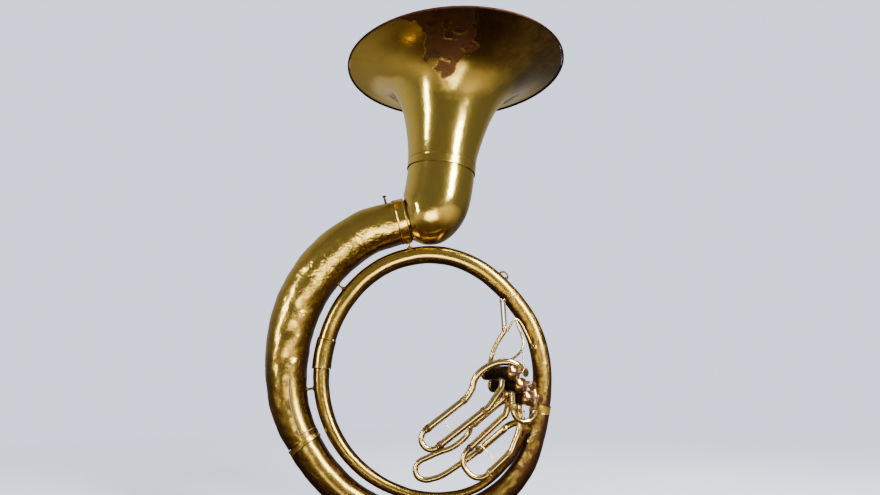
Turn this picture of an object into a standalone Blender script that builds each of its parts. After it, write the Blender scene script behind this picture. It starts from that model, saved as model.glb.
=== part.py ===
"""Upright-bell helicon tuba: a spiral of conical brass tube worn round the body,
a turning bell held in a screw collar, and three piston valves with their slides.

Frame: metres, +Z up, X to the player's side, -Y towards the valves' buttons.
The origin is the underside of the ring's top, where it rests on the shoulder.
"""
import math

import bpy
from mathutils import Vector

# ------------------------------------------------------------------ driving sizes
RING_CENTRE = Vector((0.0, 0.0, -0.257))
GAP = 0.0003                      # clearance between pieces that touch
FERRULE_WALL = 0.0010
BODY_WALL = 0.0010                # sheet thickness of the conical branches
BELL_WALL = 0.0010
BELL_RIM_WIRE = 0.0030
COLLAR_CENTRE = Vector((-0.0765, 0.0, 0.1085))
COLLAR_RISE = 14.0                # degrees that the collar's axis rises towards +X
TENON_RADIUS = 0.0530
SLIDE_RADIUS = 0.0066             # moving inner legs and crooks
SLEEVE_WALL = 0.0008
SLEEVE_RADIUS = SLIDE_RADIUS + 0.0004 + SLEEVE_WALL
TUBE_WALL = 0.0009
BRANCH_SIDES = 14
BELL_BRANCH_SIDES = 18
BELL_SIDES = 28
SMALL_SIDES = 8

VALVE_AXIS = Vector((0.640, -0.768, 0.0)).normalized()     # towards the buttons
VALVE_ACROSS = Vector((0.768, 0.640, 0.0)).normalized()
ROW_ANGLE = math.radians(51.0)
VALVE_ROW = math.cos(ROW_ANGLE) * VALVE_ACROSS - math.sin(ROW_ANGLE) * Vector((0, 0, 1))
VALVE_PITCH = 0.036
VALVE_2_TOP = Vector((0.205, -0.0805, -0.2892))
CASING_RADIUS = 0.0150
CASING_WALL = 0.0012
CASING_TOP = -0.010               # heights along the valve axis, from the top cap's face
CASING_BOTTOM = -0.098
PISTON_RADIUS = CASING_RADIUS - CASING_WALL - 0.0004
PISTON_TOP = -0.022
PISTON_BOTTOM = -0.079
STEM_RADIUS = 0.0035
STEM_END = 0.0205

# Spiral of the branches, clockwise from the small end: degrees from +X, distance of
# the tube's centre from the ring's centre, tube diameter, and offset along Y.
SMALL_TURN = [
    (-32, 0.2513, 0.0160, -0.0202), (-40, 0.2566, 0.0162, -0.0156),
    (-54, 0.2690, 0.0168, -0.0060), (-70, 0.2790, 0.0185, 0.0),
    (-92, 0.2795, 0.0225, 0.0), (-112, 0.2755, 0.0270, 0.0),
    (-134, 0.2712, 0.0310, 0.0), (-156, 0.2668, 0.0340, 0.0),
    (-172, 0.2645, 0.0372, 0.0), (-185, 0.2635, 0.0395, 0.0),
]
MIDDLE_TURN = [
    (-186, 0.2635, 0.0430, 0.0), (-199, 0.2643, 0.0440, 0.0), (-223, 0.2725, 0.0450, 0.0),
    (-247, 0.2812, 0.0452, 0.0), (-270, 0.2815, 0.0452, 0.0), (-287, 0.2751, 0.0452, 0.0),
    (-314, 0.2600, 0.0455, 0.0), (-338, 0.2578, 0.0458, 0.0), (-364, 0.2588, 0.0462, 0.0),
    (-378, 0.2640, 0.0464, 0.0),
]
LARGE_TURN = [
    (-379, 0.2645, 0.0466, 0.0), (-392, 0.2780, 0.0475, 0.0), (-406, 0.2985, 0.0510, 0.0),
    (-425, 0.3165, 0.0560, 0.0), (-450, 0.3290, 0.0640, 0.0), (-474, 0.3355, 0.0680, 0.0),
    (-494, 0.3360, 0.0720, 0.0), (-511, 0.3375, 0.0775, 0.0),
]
BELL_TURN = [
    (-512, 0.3378, 0.0780, 0.0), (-524, 0.3426, 0.0868, 0.0), (-536, 0.3457, 0.0940, 0.0),
    (-548, 0.3495, 0.1030, 0.0), (-560, 0.3560, 0.1090, 0.0), (-572, 0.3640, 0.1145, 0.0),
    (-589, 0.3715, 0.1165, 0.0), (-606, 0.3762, 0.1130, 0.0),
]

# Bell: x, z, diameter and lean of the section's axis from +X, from the tenon upwards.
ELBOW = [
    (-0.0550, 0.1115, 0.1170, 18.0), (-0.0455, 0.1105, 0.1330, 26.0),
    (-0.0270, 0.1165, 0.1550, 39.0), (-0.0060, 0.1375, 0.1670, 54.0),
    (0.0088, 0.1695, 0.1715, 69.0), (0.0175, 0.2160, 0.1710, 82.0),
    (0.0205, 0.2480, 0.1720, 84.0),
]
FLARE = [
    (0.0207, 0.2486, 0.1720, 84.0), (0.0240, 0.2900, 0.1790, 84.0), (0.0293, 0.3387, 0.1985, 84.5),
    (0.0350, 0.3900, 0.2280, 85.5), (0.0400, 0.4300, 0.2640, 87.0), (0.0460, 0.4650, 0.3160, 88.5),
    (0.0515, 0.4930, 0.3900, 90.0), (0.0550, 0.5100, 0.4650, 91.0), (0.0578, 0.5210, 0.5540, 91.8),
]

BRASS = ("brass", (0.62, 0.45, 0.16), 0.28)
BRASS_DARK = ("brass_dark", (0.36, 0.25, 0.09), 0.35)
NICKEL = ("nickel", (0.72, 0.71, 0.67), 0.2)
STEEL = ("steel", (0.55, 0.55, 0.56), 0.35)


# ------------------------------------------------------------------ scene helpers
def clear_scene():
    for obj in list(bpy.data.objects):
        bpy.data.objects.remove(obj, do_unlink=True)


def material(finish):
    """A metallic material, shared by every piece with the same finish."""
    name, colour, roughness = finish
    found = bpy.data.materials.get(name)
    if found:
        return found
    made = bpy.data.materials.new(name)
    made.use_nodes = True
    shader = made.node_tree.nodes["Principled BSDF"]
    shader.inputs["Base Color"].default_value = (*colour, 1.0)
    shader.inputs["Metallic"].default_value = 1.0
    shader.inputs["Roughness"].default_value = roughness
    return made


def add_piece(name, points, faces, finish, origin=None):
    """Make one object from world points, with its origin where its joint is."""
    origin = origin or Vector((0, 0, 0))
    mesh = bpy.data.meshes.new(name)
    mesh.from_pydata([tuple(p - origin) for p in points], [], faces)
    mesh.validate()
    mesh.shade_smooth()
    mesh.set_sharp_from_angle(angle=math.radians(40))
    mesh.materials.append(material(finish))
    piece = bpy.data.objects.new(name, mesh)
    piece.location = origin
    bpy.context.scene.collection.objects.link(piece)
    return piece


# ------------------------------------------------------------------ curves
def smooth(points, steps):
    """Catmull-Rom curve through tuples or vectors, with `steps` spans per interval."""
    rows = [list(p) for p in points]
    first = [2 * a - b for a, b in zip(rows[0], rows[1])]
    last = [2 * a - b for a, b in zip(rows[-1], rows[-2])]
    rows = [first] + rows + [last]
    out = []
    for i in range(1, len(rows) - 2):
        p0, p1, p2, p3 = rows[i - 1:i + 3]
        for k in range(steps):
            t = k / steps
            out.append([
                0.5 * (2 * b + (c - a) * t + (2 * a - 5 * b + 4 * c - d) * t ** 2
                       + (3 * b - a - 3 * c + d) * t ** 3)
                for a, b, c, d in zip(p0, p1, p2, p3)
            ])
    out.append(rows[-2])
    return out


def spiral_point(degrees, distance, offset=0.0):
    angle = math.radians(degrees)
    return RING_CENTRE + Vector((distance * math.cos(angle), offset, distance * math.sin(angle)))


def bend(start, heading, side, radius, turn_degrees, spans):
    """Points of an arc that leaves `start` along `heading` and turns towards `side`."""
    centre = start + side * radius
    out = []
    for k in range(1, spans + 1):
        a = math.radians(turn_degrees) * k / spans
        out.append(centre - side * radius * math.cos(a) + heading * radius * math.sin(a))
    return out


# ------------------------------------------------------------------ solids
def tangents(points):
    out = []
    for i in range(len(points)):
        before = points[max(i - 1, 0)]
        after = points[min(i + 1, len(points) - 1)]
        out.append((after - before).normalized())
    return out


def section_ring(centre, along, up, radius, sides):
    across = along.cross(up).normalized()
    over = along.cross(across).normalized()
    turn = math.pi / sides
    return [
        centre + across * (radius * math.cos(turn + 2 * math.pi * k / sides))
        + over * (radius * math.sin(turn + 2 * math.pi * k / sides))
        for k in range(sides)
    ]


def skin(rings, sides, closed):
    """Faces between consecutive rings of `sides` points."""
    faces = []
    last = rings if closed else rings - 1
    for i in range(last):
        j = (i + 1) % rings
        for k in range(sides):
            m = (k + 1) % sides
            faces.append((i * sides + k, i * sides + m, j * sides + m, j * sides + k))
    return faces


def tube(name, points, radii, finish, wall, sides=SMALL_SIDES, up=Vector((0, -1, 0)),
         along=None, origin=None):
    """Hollow tube along `points`. Its outer and inner skins meet at both open ends."""
    along = along or tangents(points)
    outer = [section_ring(p, t, up, r, sides) for p, t, r in zip(points, along, radii)]
    inner = [section_ring(p, t, up, r - wall, sides) for p, t, r in zip(points, along, radii)]
    rings = outer + inner[::-1]
    verts = [v for ring in rings for v in ring]
    return add_piece(name, verts, skin(len(rings), sides, closed=True), finish, origin)


def rod(name, points, radius, finish, sides=6, up=Vector((0, -1, 0)), radii=None):
    """Solid round bar along `points`."""
    radii = radii or [radius] * len(points)
    rings = [section_ring(p, t, up, r, sides) for p, t, r in zip(points, tangents(points), radii)]
    verts = [v for ring in rings for v in ring]
    faces = skin(len(rings), sides, closed=False)
    faces.append(tuple(reversed(range(sides))))
    faces.append(tuple(range(len(verts) - sides, len(verts))))
    return add_piece(name, verts, faces, finish)


def turned(name, base, axis, profile, finish, sides=16, origin=None, up=Vector((0, 0, 1))):
    """Solid of revolution. `profile` holds (radius, height along the axis) and runs up
    the outside; it closes on itself, or on the axis where its ends have radius 0."""
    axis = axis.normalized()
    rings = []
    verts = []
    for radius, height in profile:
        centre = base + axis * height
        if radius < 1e-6:
            rings.append([len(verts)])
            verts.append(centre)
            continue
        start = len(verts)
        verts += section_ring(centre, axis, up, radius, sides)
        rings.append(list(range(start, start + sides)))
    pairs = list(zip(rings, rings[1:]))
    if len(rings[0]) > 1:
        pairs.append((rings[-1], rings[0]))
    faces = []
    for low, high in pairs:
        for k in range(sides):
            m = (k + 1) % sides
            if len(low) == 1:
                faces.append((low[0], high[m], high[k]))
            elif len(high) == 1:
                faces.append((low[k], low[m], high[0]))
            else:
                faces.append((low[k], low[m], high[m], high[k]))
    return add_piece(name, verts, faces, finish, origin)


def block(name, centre, right, up, size, finish, origin=None):
    """Rectangular bar with its sides along right, up and their cross product."""
    right = right.normalized()
    up = (up - right * up.dot(right)).normalized()
    deep = right.cross(up)
    half = [s / 2 for s in size]
    corners = [
        centre + right * (half[0] * a) + up * (half[1] * b) + deep * (half[2] * c)
        for c in (-1, 1) for b in (-1, 1) for a in (-1, 1)
    ]
    faces = [(0, 2, 3, 1), (4, 5, 7, 6), (0, 1, 5, 4), (2, 6, 7, 3), (0, 4, 6, 2), (1, 3, 7, 5)]
    return add_piece(name, corners, faces, finish, origin)


# ------------------------------------------------------------------ ring of branches
def branch_path(turn, steps=2):
    rows = smooth(turn, steps)
    points = [spiral_point(a, r, y) for a, r, _, y in rows]
    return points, [d / 2 for _, _, d, _ in rows]


def make_branch(name, turn, steps=2, sides=BRANCH_SIDES):
    points, radii = branch_path(turn, steps)
    tube(name, points, radii, BRASS, BODY_WALL, sides)
    return points, radii


def bell_branch_sections():
    """Centres, directions and radii of the widest branch, whose mouth sits square in
    the collar."""
    points, radii = branch_path(BELL_TURN)
    along = collar_direction()
    points += [COLLAR_CENTRE - along * 0.0145, COLLAR_CENTRE - along * 0.0010]
    radii += [TENON_RADIUS + 0.0006, TENON_RADIUS]
    directions = tangents(points)
    directions[-2:] = [along, along]
    return points, directions, radii


def ferrule(name, end, before, radius, length, finish=BRASS):
    """Sleeve soldered over the joint between two branches."""
    along = (end - before).normalized()
    inside = radius + GAP * 2
    outside = inside + FERRULE_WALL
    bead = outside + 0.0008
    edge = 0.0025
    profile = [(inside, -length / 2), (bead, -length / 2), (bead, -length / 2 + edge),
               (outside, -length / 2 + edge + 0.0010), (outside, length / 2 - edge - 0.0010),
               (bead, length / 2 - edge), (bead, length / 2), (inside, length / 2)]
    turned(name, end, along, profile, finish, sides=20, up=Vector((0, -1, 0)))


def body_branches():
    small, small_radii = make_branch("small_branch", SMALL_TURN, sides=12)
    middle, middle_radii = make_branch("middle_branch", MIDDLE_TURN)
    large, large_radii = make_branch("large_branch", LARGE_TURN)
    points, directions, radii = bell_branch_sections()
    tube("bell_branch", points, radii, BRASS, BODY_WALL, BELL_BRANCH_SIDES, along=directions)
    sleeve = [(-181.2, 0.2638), (-185.0, 0.2635), (-189.0, 0.2635), (-193.0, 0.2637),
              (-196.3, 0.2640)]
    tube("ferrule_small", [spiral_point(a, r) for a, r in sleeve], [0.0238] * len(sleeve), BRASS,
         FERRULE_WALL, BRANCH_SIDES)
    ferrule("ferrule_middle", large[0], middle[-1], large_radii[0] + 0.0010, 0.022)
    ferrule("ferrule_large", large[-1], large[-2], large_radii[-1] + 0.0012, 0.015)


def guard_plate():
    """Thin sheet soldered over the worn front face of the bell branch."""
    first_section, last_section = 1, 4
    first_corner, last_corner = 14, 17
    sheet = 0.0006
    points, directions, radii = bell_branch_sections()
    front = Vector((0, -1, 0))
    low, high = [], []
    for i in range(first_section, last_section + 1):
        for skin_radius, corners in ((radii[i] + GAP, low), (radii[i] + GAP + sheet, high)):
            ring = section_ring(points[i], directions[i], front, skin_radius, BELL_BRANCH_SIDES)
            corners += ring[first_corner:last_corner + 1]
    width = last_corner - first_corner + 1
    rows = last_section - first_section + 1
    count = len(low)
    faces = []
    for i in range(rows - 1):
        for k in range(width - 1):
            a, b = i * width + k, i * width + k + 1
            c, d = b + width, a + width
            faces.append((d, c, b, a))
            faces.append((a + count, b + count, c + count, d + count))
        a, d = i * width, (i + 1) * width
        faces.append((a, a + count, d + count, d))
        a, d = a + width - 1, d + width - 1
        faces.append((d, d + count, a + count, a))
    last_row = (rows - 1) * width
    for k in range(width - 1):
        faces.append((k, k + 1, k + 1 + count, k + count))
        a = last_row + k
        faces.append((a + count, a + 1 + count, a + 1, a))
    add_piece("guard_plate", low + high, faces, BRASS)


def stays():
    """Short posts between the two turns, and the strap lug on the outside."""
    for name, degrees in (("turn_stay_upper", 138.0), ("turn_stay_lower", 188.0)):
        inner = radius_at(MIDDLE_TURN + SMALL_TURN, degrees)
        outer = radius_at(BELL_TURN, degrees, near=True)
        ends = [spiral_point(degrees, inner + 0.0006), spiral_point(degrees, outer - 0.0006)]
        turned(name, ends[0], ends[1] - ends[0],
               post_profile(0.0060, (ends[1] - ends[0]).length), BRASS_DARK, sides=10,
               up=Vector((0, -1, 0)))
    lug_angle, half_width = 53.0, 2.0
    foot = radius_at(MIDDLE_TURN, lug_angle) + 0.0006
    loop = [(-half_width, 0.0), (-half_width, 0.0045), (-half_width / 2, 0.0085), (0.0, 0.0098),
            (half_width / 2, 0.0085), (half_width, 0.0045), (half_width, 0.0)]
    rod("strap_lug", [spiral_point(lug_angle + turn, foot + rise) for turn, rise in loop], 0.0024,
        BRASS_DARK)


def post_profile(radius, length):
    return [(0, 0), (radius, 0), (radius, 0.0010), (radius * 0.6, 0.0025),
            (radius * 0.6, length - 0.0025), (radius, length - 0.0010), (radius, length),
            (0, length)]


def radius_at(turns, degrees, near=False):
    """Distance from the ring's centre to a branch's far side, or to its near side."""
    best = min(smooth(turns, 8), key=lambda row: abs((row[0] - degrees + 180) % 360 - 180))
    return best[1] - best[2] / 2 if near else best[1] + best[2] / 2


# ------------------------------------------------------------------ bell and collar
def collar_direction():
    rise = math.radians(COLLAR_RISE)
    return Vector((math.cos(rise), 0, math.sin(rise)))


def bell_section(row):
    x, z, diameter, lean = row
    lean = math.radians(lean)
    return Vector((x, 0, z)), Vector((math.cos(lean), 0, math.sin(lean))), diameter / 2


def collar():
    along = collar_direction()
    half = 0.0125
    inside = TENON_RADIUS + 0.0016
    outside = inside + 0.0013
    bead = outside + 0.0011
    profile = [(inside, -half), (bead, -half), (bead, -half + 0.0030), (outside, -half + 0.0040),
               (outside, half - 0.0040), (bead, half - 0.0030), (bead, half), (inside, half)]
    turned("collar_socket", COLLAR_CENTRE, along, profile, BRASS, sides=BELL_SIDES,
           up=Vector((0, -1, 0)))
    ring_top = spiral_point(101.0, radius_at(MIDDLE_TURN, 101.0) + 0.0006)
    down = (ring_top - COLLAR_CENTRE).normalized()
    head = COLLAR_CENTRE + down * (bead - 0.0002)
    turned("collar_foot", ring_top, head - ring_top,
           post_profile(0.0070, (head - ring_top).length), BRASS_DARK, sides=10,
           up=Vector((0, -1, 0)))
    for name, base, out, height in collar_screws():
        turned(name, base, out,
               [(0, 0), (0.0030, 0), (0.0030, height - 0.0095), (0.0022, height - 0.0090),
                (0.0022, height - 0.0055), (0.0050, height - 0.0045), (0.0054, height - 0.0030),
                (0.0050, height - 0.0008), (0, height)],
               BRASS_DARK, sides=10, origin=base, up=along)


def collar_screws():
    """Name, foot, outward direction and height of each thumb screw round the collar."""
    along = collar_direction()
    above = Vector((0, -1, 0)).cross(along).normalized()
    if above.z < 0:
        above = -above
    front = Vector((0, -1, 0))
    seat = TENON_RADIUS + 0.0016 + 0.0013 + 0.0006
    # the upper screw stands on the branch just before the collar, clear of the elbow
    screws = [("collar_screw_1", COLLAR_CENTRE - along * 0.0300 + above * 0.0532, above, 0.0245)]
    for index, degrees in enumerate((-38.0, 218.0), start=2):
        out = front * math.cos(math.radians(degrees)) + above * math.sin(math.radians(degrees))
        screws.append((f"collar_screw_{index}", COLLAR_CENTRE + out * seat, out, 0.0150))
    return screws


def bell():
    along = collar_direction()
    start = COLLAR_CENTRE + along * 0.0010
    tenon_end = COLLAR_CENTRE + along * 0.0150
    points, directions, radii = [start, tenon_end], [along, along], [TENON_RADIUS, TENON_RADIUS]
    rows = smooth([(tenon_end.x, tenon_end.z, 2 * TENON_RADIUS, COLLAR_RISE)] + ELBOW, 2)
    for row in rows[1:]:
        point, direction, radius = bell_section(row)
        points.append(point)
        directions.append(direction)
        radii.append(radius)
    tube("bell_elbow", points, radii, BRASS, BELL_WALL, BELL_SIDES, along=directions,
         origin=COLLAR_CENTRE)

    rows = [bell_section(row) for row in smooth(FLARE, 2)]
    tube("bell_flare", [r[0] for r in rows], [r[2] for r in rows], BRASS, BELL_WALL, BELL_SIDES,
         along=[r[1] for r in rows], origin=COLLAR_CENTRE)

    joint, direction, radius = bell_section(FLARE[0])
    inside = radius + 0.0012
    profile = [(inside, -0.0115), (inside + 0.0018, -0.0115), (inside + 0.0018, -0.0085),
               (inside + 0.0010, -0.0075), (inside + 0.0010, 0.0075), (inside + 0.0018, 0.0085),
               (inside + 0.0018, 0.0115), (inside, 0.0115)]
    turned("bell_ferrule", joint, direction, profile, BRASS, sides=BELL_SIDES,
           origin=COLLAR_CENTRE, up=Vector((0, -1, 0)))

    rim, direction, radius = bell_section(FLARE[-1])
    wire = []
    for k in range(6):
        a = 2 * math.pi * k / 6
        wire.append((radius + GAP + BELL_RIM_WIRE * (1 + math.cos(a)),
                     BELL_RIM_WIRE * math.sin(a)))
    turned("bell_rim", rim, direction, wire, BRASS_DARK, sides=BELL_SIDES, origin=COLLAR_CENTRE,
           up=Vector((0, -1, 0)))


# ------------------------------------------------------------------ valves
def valve_top(number):
    return VALVE_2_TOP + VALVE_ROW * (VALVE_PITCH * (number - 2))


def port(number, height, degrees, clearance=GAP):
    """Point just off a casing, and the direction that leaves it there."""
    a = math.radians(degrees)
    out = VALVE_ACROSS * math.cos(a) + Vector((0, 0, 1)) * math.sin(a)
    return valve_top(number) + VALVE_AXIS * height + out * (CASING_RADIUS + clearance), out


def valve(number):
    top = valve_top(number)
    inside = CASING_RADIUS - CASING_WALL
    turned(f"valve_casing_{number}", top, VALVE_AXIS,
           [(inside, CASING_BOTTOM), (CASING_RADIUS, CASING_BOTTOM),
            (CASING_RADIUS, CASING_TOP), (inside, CASING_TOP)], BRASS)
    skirt = CASING_RADIUS + GAP
    turned(f"top_cap_{number}", top, VALVE_AXIS,
           [(skirt, -0.0135), (0.0172, -0.0135), (0.0176, -0.0060), (0.0150, -0.0045),
            (0.0105, -0.0020), (0.0070, 0), (0.0042, 0), (0.0042, -0.0080), (skirt, -0.0080)],
           BRASS_DARK, sides=16)
    floor = CASING_BOTTOM - GAP
    turned(f"bottom_cap_{number}", top, VALVE_AXIS,
           [(0.0030, floor - 0.0045), (0.0110, floor - 0.0045), (0.0168, floor - 0.0020),
            (0.0168, floor + 0.0080), (skirt, floor + 0.0080), (skirt, floor),
            (0.0030, floor)], BRASS)
    crown = PISTON_TOP - 0.0020
    hollow = PISTON_RADIUS - 0.0012
    turned(f"piston_{number}", top, VALVE_AXIS,
           [(0, crown), (hollow, crown), (hollow, PISTON_BOTTOM), (PISTON_RADIUS, PISTON_BOTTOM),
            (PISTON_RADIUS, PISTON_TOP), (STEM_RADIUS, PISTON_TOP), (STEM_RADIUS, STEM_END),
            (0, STEM_END)], NICKEL, origin=top)
    turned(f"finger_button_{number}", top, VALVE_AXIS,
           [(0, STEM_END + GAP), (0.0035, STEM_END + GAP), (0.0095, STEM_END + 0.0030),
            (0.0100, STEM_END + 0.0050), (0.0092, STEM_END + 0.0062), (0, STEM_END + 0.0055)],
           BRASS_DARK, sides=14, origin=top)
    valve_spring(number, floor + GAP, crown - GAP)


def valve_spring(number, low, high):
    wire, radius, turns, per_turn = 0.0006, 0.0090, 5, 8
    low, high = low + wire, high - wire
    count = turns * per_turn
    points = []
    for k in range(count + 1):
        a = 2 * math.pi * k / per_turn
        height = low + (high - low) * k / count
        points.append(valve_top(number) + VALVE_AXIS * height
                      + VALVE_ACROSS * (radius * math.cos(a))
                      + Vector((0, 0, 1)) * (radius * math.sin(a)))
    rod(f"piston_spring_{number}", points, wire, STEEL, sides=4, up=VALVE_AXIS)


def route(start_port, stops, end_port=None, steps=2, straight=0.006):
    """Smooth path that leaves one port squarely, passes the stops, and meets another."""
    spot, out = start_port
    lead = [spot]
    path = [spot + out * straight] + [Vector(s) for s in stops]
    tail = []
    if end_port:
        spot, out = end_port
        path.append(spot + out * straight)
        tail = [spot]
    return lead + [Vector(p) for p in smooth(path, steps)] + tail


def small_tube(name, points, radius=SLEEVE_RADIUS, finish=BRASS, up=Vector((0, -1, 0)), along=None,
               wall=TUBE_WALL):
    return tube(name, points, [radius] * len(points), finish, wall, up=up, along=along)


def knuckles():
    """Short bows that carry the air from one valve to the next, behind the casings."""
    for low, high, height in ((1, 2, -0.062), (2, 3, -0.080)):
        a, out_a = port(low, height, -12.0)
        b, out_b = port(high, height, 28.0)
        reach = a + out_a * 0.016 + (b - a) * 0.2
        other = b + out_b * 0.016 + (a - b) * 0.2
        points = route((a, out_a), [reach, other], (b, out_b), straight=0.005)
        small_tube(f"knuckle_{low}{high}", points, radius=0.0062, up=VALVE_AXIS)


# ------------------------------------------------------------------ valve slides
class Slide:
    """Two parallel sleeves and the crook whose legs run in them."""

    def __init__(self, upper, heading, across, spread, sleeve_end, corner):
        self.upper = Vector(upper)                 # a point on the upper sleeve's axis
        self.heading = Vector(heading).normalized()
        self.across = Vector(across)
        self.across = (self.across - self.heading * self.across.dot(self.heading)).normalized()
        self.up = self.across.cross(self.heading).normalized()
        self.spread = spread
        self.sleeve_end = sleeve_end               # along heading, from the point
        self.corner = corner                       # radius of the crook's two bends

    def on(self, along, lower=False):
        shift = self.across * self.spread if lower else Vector((0, 0, 0))
        return self.upper + self.heading * along + shift

    def crook(self, depth, spans=4):
        """Centreline of the crook, with legs that reach `depth` into the sleeves."""
        out = self.on(self.sleeve_end + 0.004)
        path = [self.on(self.sleeve_end - depth), self.on(self.sleeve_end - depth / 2), out]
        path += bend(out, self.heading, self.across, self.corner, 90, spans)
        turn = path[-1] + self.across * (self.spread - 2 * self.corner)
        if (turn - path[-1]).length > 0.001:
            path.append(turn)
        path += bend(turn, self.across, -self.heading, self.corner, 90, spans)
        path += [self.on(self.sleeve_end - depth / 2, True), self.on(self.sleeve_end - depth, True)]
        return path


FIRST = Slide((0.0352, -0.062, -0.3483), (-0.7986, 0, -0.6018), (0.6018, 0, -0.7986), 0.045,
              0.060, 0.0220)
SECOND = Slide((0.1818, -0.0527, -0.3046), (0, 0, -1), (0.9522, 0.3056, 0), 0.0537, 0.034, 0.0265)
THIRD = Slide((0.1534, -0.030, -0.3662), (-0.7466, 0, -0.6652), (0.6652, 0, -0.7466), 0.068,
              0.096, 0.0300)
TUNING = Slide((0.0935, -0.016, -0.3772), (-0.752, 0.209, -0.624), (0.612, -0.127, -0.781), 0.0513,
               0.0, 0.0200)


def sleeve_tube(name, points, slide):
    small_tube(name, points, up=slide.up, wall=SLEEVE_WALL)


def crook_tube(name, points, slide):
    tube(name, points, [SLIDE_RADIUS] * len(points), BRASS, TUBE_WALL, up=slide.up,
         origin=slide.on(slide.sleeve_end))


def first_slide():
    s = FIRST
    over_valve = [(0.2010, -0.0600, -0.2540), (0.1945, -0.0675, -0.2450),
                  (0.1820, -0.0715, -0.2395), (0.1704, -0.0730, -0.2378),
                  (0.1547, -0.0735, -0.2380), (0.1390, -0.0725, -0.2415),
                  (0.1225, -0.0715, -0.2490), (0.1085, -0.0700, -0.2590),
                  (0.0975, -0.0680, -0.2715), (0.0918, -0.0655, -0.2845),
                  (0.0880, -0.0635, -0.2985), s.on(-0.050), s.on(-0.040)]
    points = route(port(1, -0.030, 4.0), over_valve, steps=2)
    points += [s.on(0.015), s.on(s.sleeve_end)]
    sleeve_tube("first_branch_upper", points, s)
    under_valve = [(0.1555, -0.0610, -0.2950), (0.1420, -0.0617, -0.3145), s.on(-0.080, True),
                   s.on(-0.070, True)]
    points = route(port(1, -0.0447, -90.0), under_valve, steps=2)
    points += [s.on(0.0, True), s.on(s.sleeve_end, True)]
    sleeve_tube("first_branch_lower", points, s)
    crook_tube("first_slide", s.crook(0.090), s)


def second_slide():
    s = SECOND
    points = [port(2, -0.0362, -90.0)[0], s.on(0.010), s.on(s.sleeve_end)]
    sleeve_tube("second_branch_left", points, s)
    side = [(0.2085, -0.0285, -0.2868), (0.2220, -0.0310, -0.2872), (0.2300, -0.0340, -0.2950),
            s.on(0.006, True), s.on(0.012, True)]
    points = route(port(2, -0.0362, 0.0), side, steps=2)
    points += [s.on(s.sleeve_end, True)]
    sleeve_tube("second_branch_right", points, s)
    crook_tube("second_slide", s.crook(0.024), s)


def third_slide():
    s = THIRD
    points = route(port(3, -0.058, -135.0), [s.on(-0.018), s.on(-0.010)], steps=2)
    points += [s.on(0.050), s.on(s.sleeve_end)]
    sleeve_tube("third_branch_left", points, s)
    side = [(0.1975, -0.0325, -0.3520), (0.1972, -0.0300, -0.3790), (0.1942, -0.0300, -0.3960),
            (0.1866, -0.0300, -0.4135), s.on(0.030, True), s.on(0.040, True)]
    points = route(port(3, -0.040, -90.0), side, steps=2)
    points += [s.on(s.sleeve_end, True)]
    sleeve_tube("third_branch_right", points, s)
    crook_tube("third_slide", s.crook(0.054), s)


def tuning_slide():
    s = TUNING
    points = route(port(2, -0.0538, -95.0), [(0.1665, -0.0372, -0.3160), s.on(-0.088), s.on(-0.080)],
                   steps=2, straight=0.004)
    points += [s.on(-0.040), s.on(s.sleeve_end)]
    sleeve_tube("tuning_branch_upper", points, s)
    end = 0.030
    points = [s.on(end, True), s.on(-0.005, True), s.on(-0.042, True), s.on(-0.052, True)]
    back = [points[-2], points[-1], Vector((0.1640, -0.0225, -0.3850)),
            Vector((0.1820, -0.0110, -0.3765)), Vector((0.2010, -0.0070, -0.3730)),
            Vector((0.2125, -0.0130, -0.3780)), spiral_point(-30.5, 0.2504, -0.0208)]
    points = points[:2] + [Vector(p) for p in smooth(back, 2)]
    sleeve_tube("tuning_branch_lower", points, s)
    low = s.on(end, True)
    bow = [s.on(0.008), (0.0820, -0.0110, -0.3975), (0.0646, -0.0085, -0.4153),
           (0.0421, -0.0070, -0.4298), (0.0166, -0.0065, -0.4386), (-0.0059, -0.0060, -0.4480),
           (-0.0310, -0.0055, -0.4600), (-0.0390, -0.0055, -0.4760), (-0.0340, -0.0055, -0.4920),
           (-0.0180, -0.0055, -0.4990), (0.0010, -0.0060, -0.4965), (0.0300, -0.0070, -0.4850),
           s.on(end + 0.012, True), s.on(end + 0.006, True)]
    path = [s.on(-0.050), s.on(-0.025), s.on(0.002)]
    path += [Vector(p) for p in smooth(bow, 2)]
    path += [low - s.heading * 0.025, low - s.heading * 0.045]
    crook_tube("tuning_slide", path, s)


# ------------------------------------------------------------------ leadpipe and stays
RECEIVER_FOOT = Vector((0.1672, -0.0450, -0.1604))
RECEIVER_TOP = Vector((0.1628, -0.0550, -0.0925))


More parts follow.
